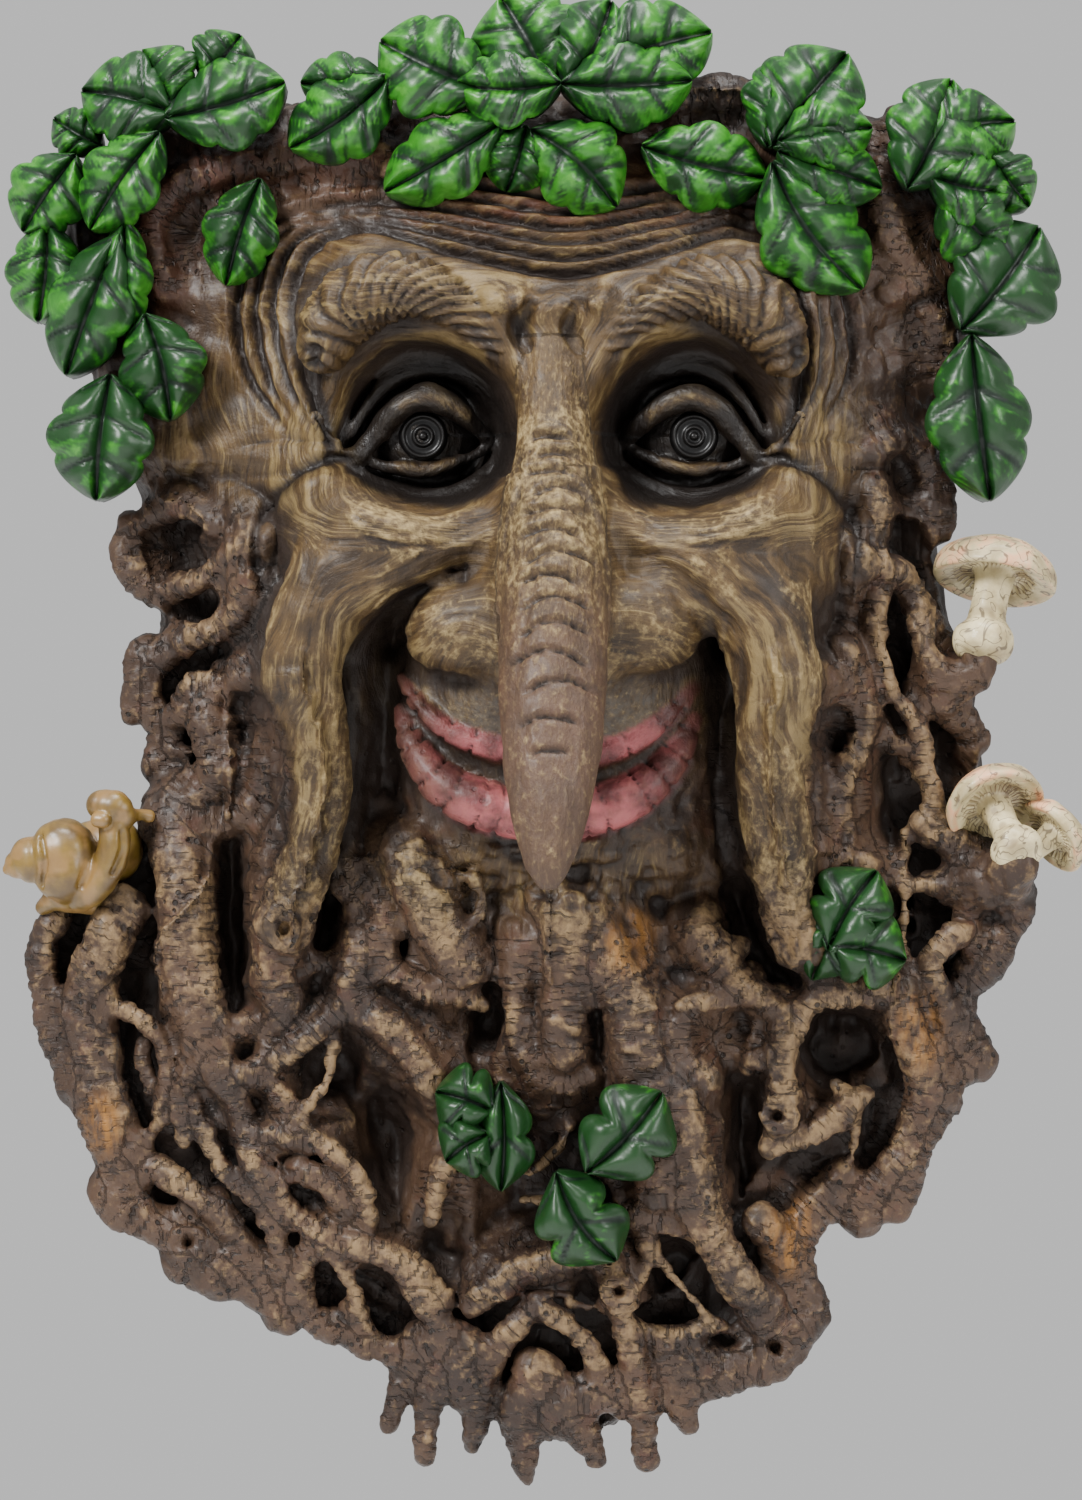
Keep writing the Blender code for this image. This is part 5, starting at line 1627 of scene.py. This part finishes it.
# %% [markdown]
# ## The relief of a leaf
# Each oak leaf is a bent sheet: a deep groove for the midrib, a thinner groove to every lobe, and
# a puff of flesh between them. A leaf has two coordinates of its own. One runs from edge to edge,
# from -1 to 1, and the other from the stalk to the tip, from 0 to 1.

# %% Grooves, puffs and lobes
def leaf_lines(s, t, lobes):
    """The midrib, the veins, the puffs between them, and how far the veins have run."""
    a = np.abs(s)
    run = lobes * t - 0.5 - 0.55 * (a - 1)
    wave = np.abs(run - np.round(run))
    rib = np.exp(-((a / 0.06) ** 2))
    vein = np.exp(-((wave / 0.075) ** 2)) * ramp(a, 0.02, 0.15) * (1 - 0.6 * ramp(a, 0.7, 1.0))
    puff = np.sin(np.pi * wave) ** 2 * np.sin(np.pi * a**0.8) ** 0.7
    return rib, vein, puff, run


def leaf_half(s, t, width, lobes, edge_deep):
    """Half the leaf's width, which swells to each lobe and pinches in between."""
    body = np.sin(np.pi * t**1.1) ** 0.7
    lobe = np.abs(np.cos(np.pi * (lobes * t - 0.5 + 0.04 * s))) ** 0.55
    return width / 2 * (0.10 + body) * (edge_deep + (1.12 - edge_deep) * lobe)


halfway = float(2 * leaf_half(0.0, 0.5, 15, 3, 0.90))
print("a leaf of width 15 is", round(halfway, 1), "mm wide halfway up")

# %% [markdown]
# ## Making a leaf
# The sheet lies over the dome of the casting, bowed along its length and arched on both sides of
# the midrib. A random twist, curl and bend make each leaf a little different, and the seed is
# fixed. The paint gets the grooves, and a rise value that paints highlights where a spot stands
# out.

# %% One leaf, and all of them
LEAF_THICKNESS = 6.0
TOP = cad_high.z / MM - 0.2
leaf_chance = np.random.default_rng(12)


def make_leaf(name, stalk, tip, width, lift, lobes, detail, edge_deep):
    """One leaf of the wreath, a closed sheet whose paint values are its grooves and its painted
    highlight.
    """
    n, m = detail
    start, end = np.array(stalk, float), np.array(tip, float)
    length = np.linalg.norm(end - start)
    ahead = (end - start) / length
    aside = np.array([-ahead[1], ahead[0]])
    twist, curl, bend = leaf_chance.normal(0, [0.10, 0.5, 0.05])
    s = np.linspace(-1, 1, n)[:, None] + np.zeros((1, m))
    t = np.linspace(0, 1, m)[None, :] + np.zeros((n, 1))
    a = np.abs(s)
    half = leaf_half(s, t, width, lobes, edge_deep)
    rib, vein, puff, run = leaf_lines(s, t, lobes)
    middle = start + (t * length)[..., None] * ahead
    flat = middle + (s * half + bend * length * np.sin(np.pi * t))[..., None] * aside
    spot = np.stack([flat[..., 0], flat[..., 1], s * 3 + lift], -1).reshape(-1, 3)
    grain = noise(spot, 2.6, 14).reshape(n, m)
    seeded = np.full(n * m, lift * 7.0 + width)
    wrinkle = np.stack([run.ravel() * 9, a.ravel() * 1.6, seeded], -1)
    wrinkle = noise(wrinkle, 1.0, 17).reshape(n, m)
    ruffle = np.stack([t.ravel() * 4, np.sign(s).ravel() * 3, seeded], -1)
    ruffle = noise(ruffle, 1.0, 18).reshape(n, m)
    bow = 3.0 * np.sin(np.pi * t) - 3.5 * t**3
    halves = 2.6 * np.sin(np.pi * a**0.75) - 2.0 * a**4
    hem = 0.6 * np.exp(-(((a - 0.93) / 0.06) ** 2))
    height = lift + bow + halves + twist * s * half + curl * a**3
    height = height + 0.6 * puff - 1.1 * vein - 1.3 * rib
    height = height + 0.2 * grain + 0.28 * (0.5 - np.abs(wrinkle)) + 1.5 * ruffle * a**2 + hem
    depth = bed(flat[..., 0], flat[..., 1]) + height
    under = np.maximum(depth - LEAF_THICKNESS - lift / 2, 1.0)
    front = np.concatenate([flat, depth[..., None]], -1)
    back = np.concatenate([middle + 0.9 * (flat - middle), under[..., None]], -1)
    points, faces = closed_sheet(front, back)
    points[:, 1] = np.minimum(points[:, 1], TOP)
    groove = np.clip(0.9 * rib + 0.8 * vein, 0, 1)
    # Painted highlight: rise lightens the puffs, the tips and the rims. Each leaf gets a random
    # tone, darker for the leaves low in the wreath.
    shade = leaf_chance.uniform(-0.20, 0.12) - 0.30 * (start[1] < 105)
    rise = 0.42 + shade + 0.25 * (puff - 0.4) + 0.25 * grain + 0.5 * (0.4 - np.abs(wrinkle))
    rise = np.clip(rise + 0.3 * (t - 0.4) + 0.25 * a**2, 0, 1)
    zeros = np.zeros(n * m)
    paint = {"groove": np.concatenate([groove.ravel(), zeros + 1]),
             "rise": np.concatenate([rise.ravel(), zeros])}
    return mesh_object(name, "leaf_paint", points, faces, paint)


for number, (stalk, tip, width, lift) in enumerate(LEAVES):
    make_leaf(f"wreath_leaf_{number:02d}", stalk, tip, width, lift, 3, (29, 44), 0.90)
for number, (stalk, tip, width, lift) in enumerate(BEARD_LEAVES):
    make_leaf(f"beard_leaf_{number}", stalk, tip, width, lift, 2, (29, 32), 0.62)
print("leaves end at", round(TOP, 1), "mm above the middle")

# %% [markdown]
# ## Turned shapes
# The toadstools and the irises are round with something added: gills under a cap, rings in an eye.
# A profile of radius and height is swept round an axis, and a function of the angle presses the
# detail into it. A screw or a spin modifier would sweep it too, but it couldn't add the detail.

# %% Sweeping a profile
def turned(name, slot, profile, place, axis, around, shape, step=0.5):
    """Sweeps a profile of (radius, height) round an axis through a place (x, depth, z)."""
    rows = path(profile, step)
    rows[:, 0] = np.maximum(rows[:, 0], 0)
    angle = np.linspace(0, 2 * math.pi, around, endpoint=False)[None, :]
    r, h = rows[:, :1] + 0 * angle, rows[:, 1:] + 0 * angle
    run = np.linspace(0, 1, len(rows))[:, None] + 0 * angle
    r, h, marks = shape(r, h, angle + 0 * r, run)
    local = np.stack([r * np.cos(angle), r * np.sin(angle), h], -1).reshape(-1, 3)
    x, depth, z = place
    towards = Vector(axis).to_track_quat("Z", "Y").to_matrix()
    world_place = local @ np.array(towards).T + [x, -depth, z]
    points = np.stack([world_place[:, 0], world_place[:, 2], -world_place[:, 1]], 1)
    n = len(rows)
    number = np.arange(n * around).reshape(n, around)
    after = np.roll(number, -1, axis=1)
    faces = np.stack([number[:-1], number[1:], after[1:], after[:-1]], -1).reshape(-1, 4)
    paint = {key: np.ravel(value) for key, value in marks.items()}
    return mesh_object(name, slot, points, faces, paint)


print("a turned piece takes its profile at steps of 0.5 mm")

# %% [markdown]
# ## The toadstools
# Three toadstools grow from the knobs on the edge. One profile does for all: a domed cap, a rolled
# rim, the underside, a waisted stalk and a bulb. Only their sizes and directions differ.

# %% Profile and gills
CAP = 23.0
GROUND = 13.0


def toadstool_profile(size):
    """Top of the cap, its rolled rim, the gills, the stalk and the bulb at its foot."""
    r = size / 2
    dome = [(r * math.sin(a), r * 0.62 * math.cos(a)) for a in np.linspace(0, math.pi / 2, 7)]
    rolled = [(r * 0.97, -r * 0.14), (r * 0.80, -r * 0.10), (r * 0.40, r * 0.06)]
    stalk = [(r * 0.30, -r * 0.30), (r * 0.32, -r * 0.80), (r * 0.50, -r * 1.10)]
    return [*dome, *rolled, *stalk, (r * 0.42, -r * 1.45), (0, -r * 1.55)]


def toadstool_shape(size, seed):
    """Gills under the cap, a wavy rim and a knobbly stalk."""
    def shape(r, h, angle, run):
        share = r / (size / 2)
        underside = (run > 0.42) * (run < 0.80) * ramp(share, 0.30, 0.42)
        under = ramp(h, -0.16 * size, -0.10 * size) * underside
        gills = np.cos(34 * angle + 3 * np.sin(2 * angle + seed))
        rings = np.cos(share * 22)
        place = np.stack([np.cos(angle) * 4, np.sin(angle) * 4, h], -1).reshape(-1, 3)
        rough = noise(place, 2.2, seed).reshape(r.shape)
        wavy = noise(place * [1, 1, 0.1], 3.5, seed + 1).reshape(r.shape)
        r = r * (1 + 0.05 * wavy * share) + 0.16 * rough * (run > 0.05)
        h = h + under * (0.28 * gills + 0.22 * rings) + 0.35 * wavy * share + 0.15 * rough
        return r, h, {"gill": under * gills, "top": (run < 0.38) * 1.0, "rough": rough}
    return shape


print("caps are up to", CAP * 1.06, "mm wide")

# %% [markdown]
# ## Planting them
# Each toadstool is given by the foot of its stalk and the direction in which its cap looks. The
# cap sits three quarters of its width out along that direction.

# %% Three toadstools
TOADSTOOLS = (
    ("toadstool_top", (88, 18.5), 8, (0.20, 0.40, 1.0), 1.06),
    ("toadstool_front", (96, -22), 16, (-0.35, 0.75, 0.75), 0.92),
    ("toadstool_back", (93.4, -24), 8, (0.75, 0.35, 0.55), 0.72),
)
for number, (name, (x0, z0), rise, axis, share) in enumerate(TOADSTOOLS):
    size = CAP * share
    out = Vector(axis).normalized() * size * 0.75
    place = (x0 + out.x, GROUND + rise - out.y, z0 + out.z)
    shape = toadstool_shape(size, 20 + number)
    turned(name, "toadstool_paint", toadstool_profile(size), place, axis, 136, shape)
print(len(TOADSTOOLS), "toadstools")

# %% [markdown]
# ## The sea snail
# The shell is small and knobbly, so it gets a block of its own with cells half as big. Each whorl
# is a ball that bites into the next one with hardly any fillet, which leaves the groove between
# them. Three cuts round the mouth of the shell set off its thick lip.

# %% Whorls, lip and cuts
shell_block = Block((-112.0, -42.0, 2.0), (100, 104, 96), 0.4)
SHELL = [
    ([(-92, -22, 12, 7.0), (-87, -20, 14, 7.0)], 0.8),
    ([(-95.8, -20.5, 22, 6.8), (-95.2, -24, 22, 6.8)], 0.6),
    ([(-102.2, -21.5, 21.5, 4.3), (-101.8, -22.5, 21.5, 4.3)], 0.25),
    ([(-105.0, -22.9, 21, 2.7), (-104.8, -23.3, 21, 2.7)], 0.2),
    ([(-106.6, -23.7, 20.5, 1.5), (-106.9, -24, 20.5, 1.2)], 0.2),
    ([(-85.5, -14, 26, 3.0), (-85.3, -19, 26, 3.2), (-87, -24, 25, 3.4), (-90, -28, 24, 3.2),
      (-92.5, -30.5, 22, 2.2)], 0.5),
    ([(-87.8, -11.0, 26, 3.0), (-85.5, -11.3, 26.5, 3.5), (-83.8, -13, 26, 3.0)], 0.4),
    ([(-88.4, -13.9, 29, 1.7), (-87.4, -14.0, 29.3, 1.7)], 0.25),
    ([(-83, -13, 25, 1.7), (-80, -12.8, 24, 1.1), (-78.5, -13.3, 23, 1.4)], 0.6),
    ([(-100.2, -31.6, 16, 1.5), (-97.5, -29.8, 18, 2.4), (-94, -29.8, 19, 3.0),
      (-90, -31, 19, 2.2)], 0.6),
]
SHELL_CUTS = [
    [(-91.0, -14.5, 28.4, 0.9), (-89.6, -18, 29.0, 1.3), (-89.8, -22.5, 28.8, 1.2),
     (-92, -27, 27.0, 0.8)],
    [(-83.6, -16.5, 28.6, 0.7), (-83.4, -20, 28.4, 0.9), (-85.5, -24.5, 27.8, 0.7)],
    [(-99.8, -17.5, 26.0, 0.6), (-99.2, -22, 27.6, 0.7), (-99.6, -27, 25.4, 0.6)],
]
for rows, fillet in SHELL:
    shell_block.lay(path(rows), blend=fillet)
for rows in SHELL_CUTS:
    shell_block.lay(path(rows), blend=0.7, cut=True)
shell_points, shell_faces = shell_block.mesh()
shell_rough = noise(shell_points, 2.4, 31)
shell_out = normals_of(shell_points, shell_faces)
shell_points = shell_points + 0.18 * shell_rough[:, None] * shell_out
mesh_object("snail_shell", "shell_paint", shell_points, shell_faces, {"rough": shell_rough})
print("shell", len(shell_points), "points")

# %% [markdown]
# ## The eyes
# Each iris is a small turned disc of rings with a dot in the middle, let into the front of the
# ball.

# %% Ringed irises
def eye_shape(r, h, angle, run):
    """The profile as it is, with its height as the mark of the rings."""
    return r + 0 * angle, h, {"ring": np.clip(h, 0, 1)}


IRIS = [
    (0, 1.15), (0.5, 1.05), (0.9, 0.45), (1.3, 0.45), (1.8, 1.0), (2.3, 0.45), (2.8, 0.35),
    (3.4, 0.45), (4.0, 1.0), (4.6, 0.3), (4.9, -0.8), (4.2, -2.0), (0, -2.0),
]
IRIS_DEPTH = 31.2
TOWARDS_VIEWER = (0, -1, 0)
for name, side in (("left_iris", -1), ("right_iris", 1)):
    middle = (MIDLINE + side * EYE_OUT + 0.2, IRIS_DEPTH, EYE_UP)
    turned(name, "eye_paint", IRIS, middle, TOWARDS_VIEWER, 64, eye_shape, step=0.25)
print("two irises of", len(IRIS), "points")

# %% [markdown]
# ## Sharing out the casting
# The skin of the casting has too many faces for one mesh to be handy, so it is shared out by
# region. The shares meet at the same points and take their normals from the whole skin, so no seam
# shows.

# %% Which face belongs where
REGIONS = [("face", "skin_paint"), ("crown", "bark_paint"), ("left_beard", "bark_paint"),
           ("right_beard", "bark_paint"), ("lips", "lip_paint")]
middle = verts[quads].mean(1)
region = np.where(middle[:, 0] < MIDLINE, 2, 3)
region[middle[:, 1] > 40] = 1
region[skin[quads].mean(1) > 0.5] = 0
region[(on_lip[quads].mean(1) > 0.5) & (middle[:, 2] > 20)] = 4
print("faces of each region", np.bincount(region).tolist())

# %% [markdown]
# ## Handing the points their values
# Each share takes along the values that its paint reads, under the names that the paint uses.

# %% One mesh for each region
values = {
    "wash_and_shade": wash_and_shade, "dry_brush_and_highlight": dry_brush_and_highlight, "skin": skin, "socket": socket, "lip": on_lip,
    "nose": on_nose, "rooty": rooty, "crest": crest, "phase": phase, "cross": cross,
    "along": along, "across": across, "red": red, "grey": grey, "yellow": yellow,
    "line": groove_wash_and_shade, "strokes": brushed,
}
for number, (name, slot) in enumerate(REGIONS):
    part = quads[region == number]
    used = np.unique(part)
    fresh = np.zeros(len(verts), int)
    fresh[used] = np.arange(len(used))
    marks = {key: value[used] for key, value in values.items()}
    piece = mesh_object(name, slot, verts[used], fresh[part], marks)
    out = normal[used]
    out = np.stack([out[:, 0], -out[:, 2], out[:, 1]], 1)
    piece.data.normals_split_custom_set_from_vertices(out)
    print(name, len(part), "faces")

# %% [markdown]
# ## The size of the solid
# The extent of the solid is printed at the end.

# %% Print the solid's size
print("solid", [round(v, 4) for v in (*cad_low, *cad_high)])
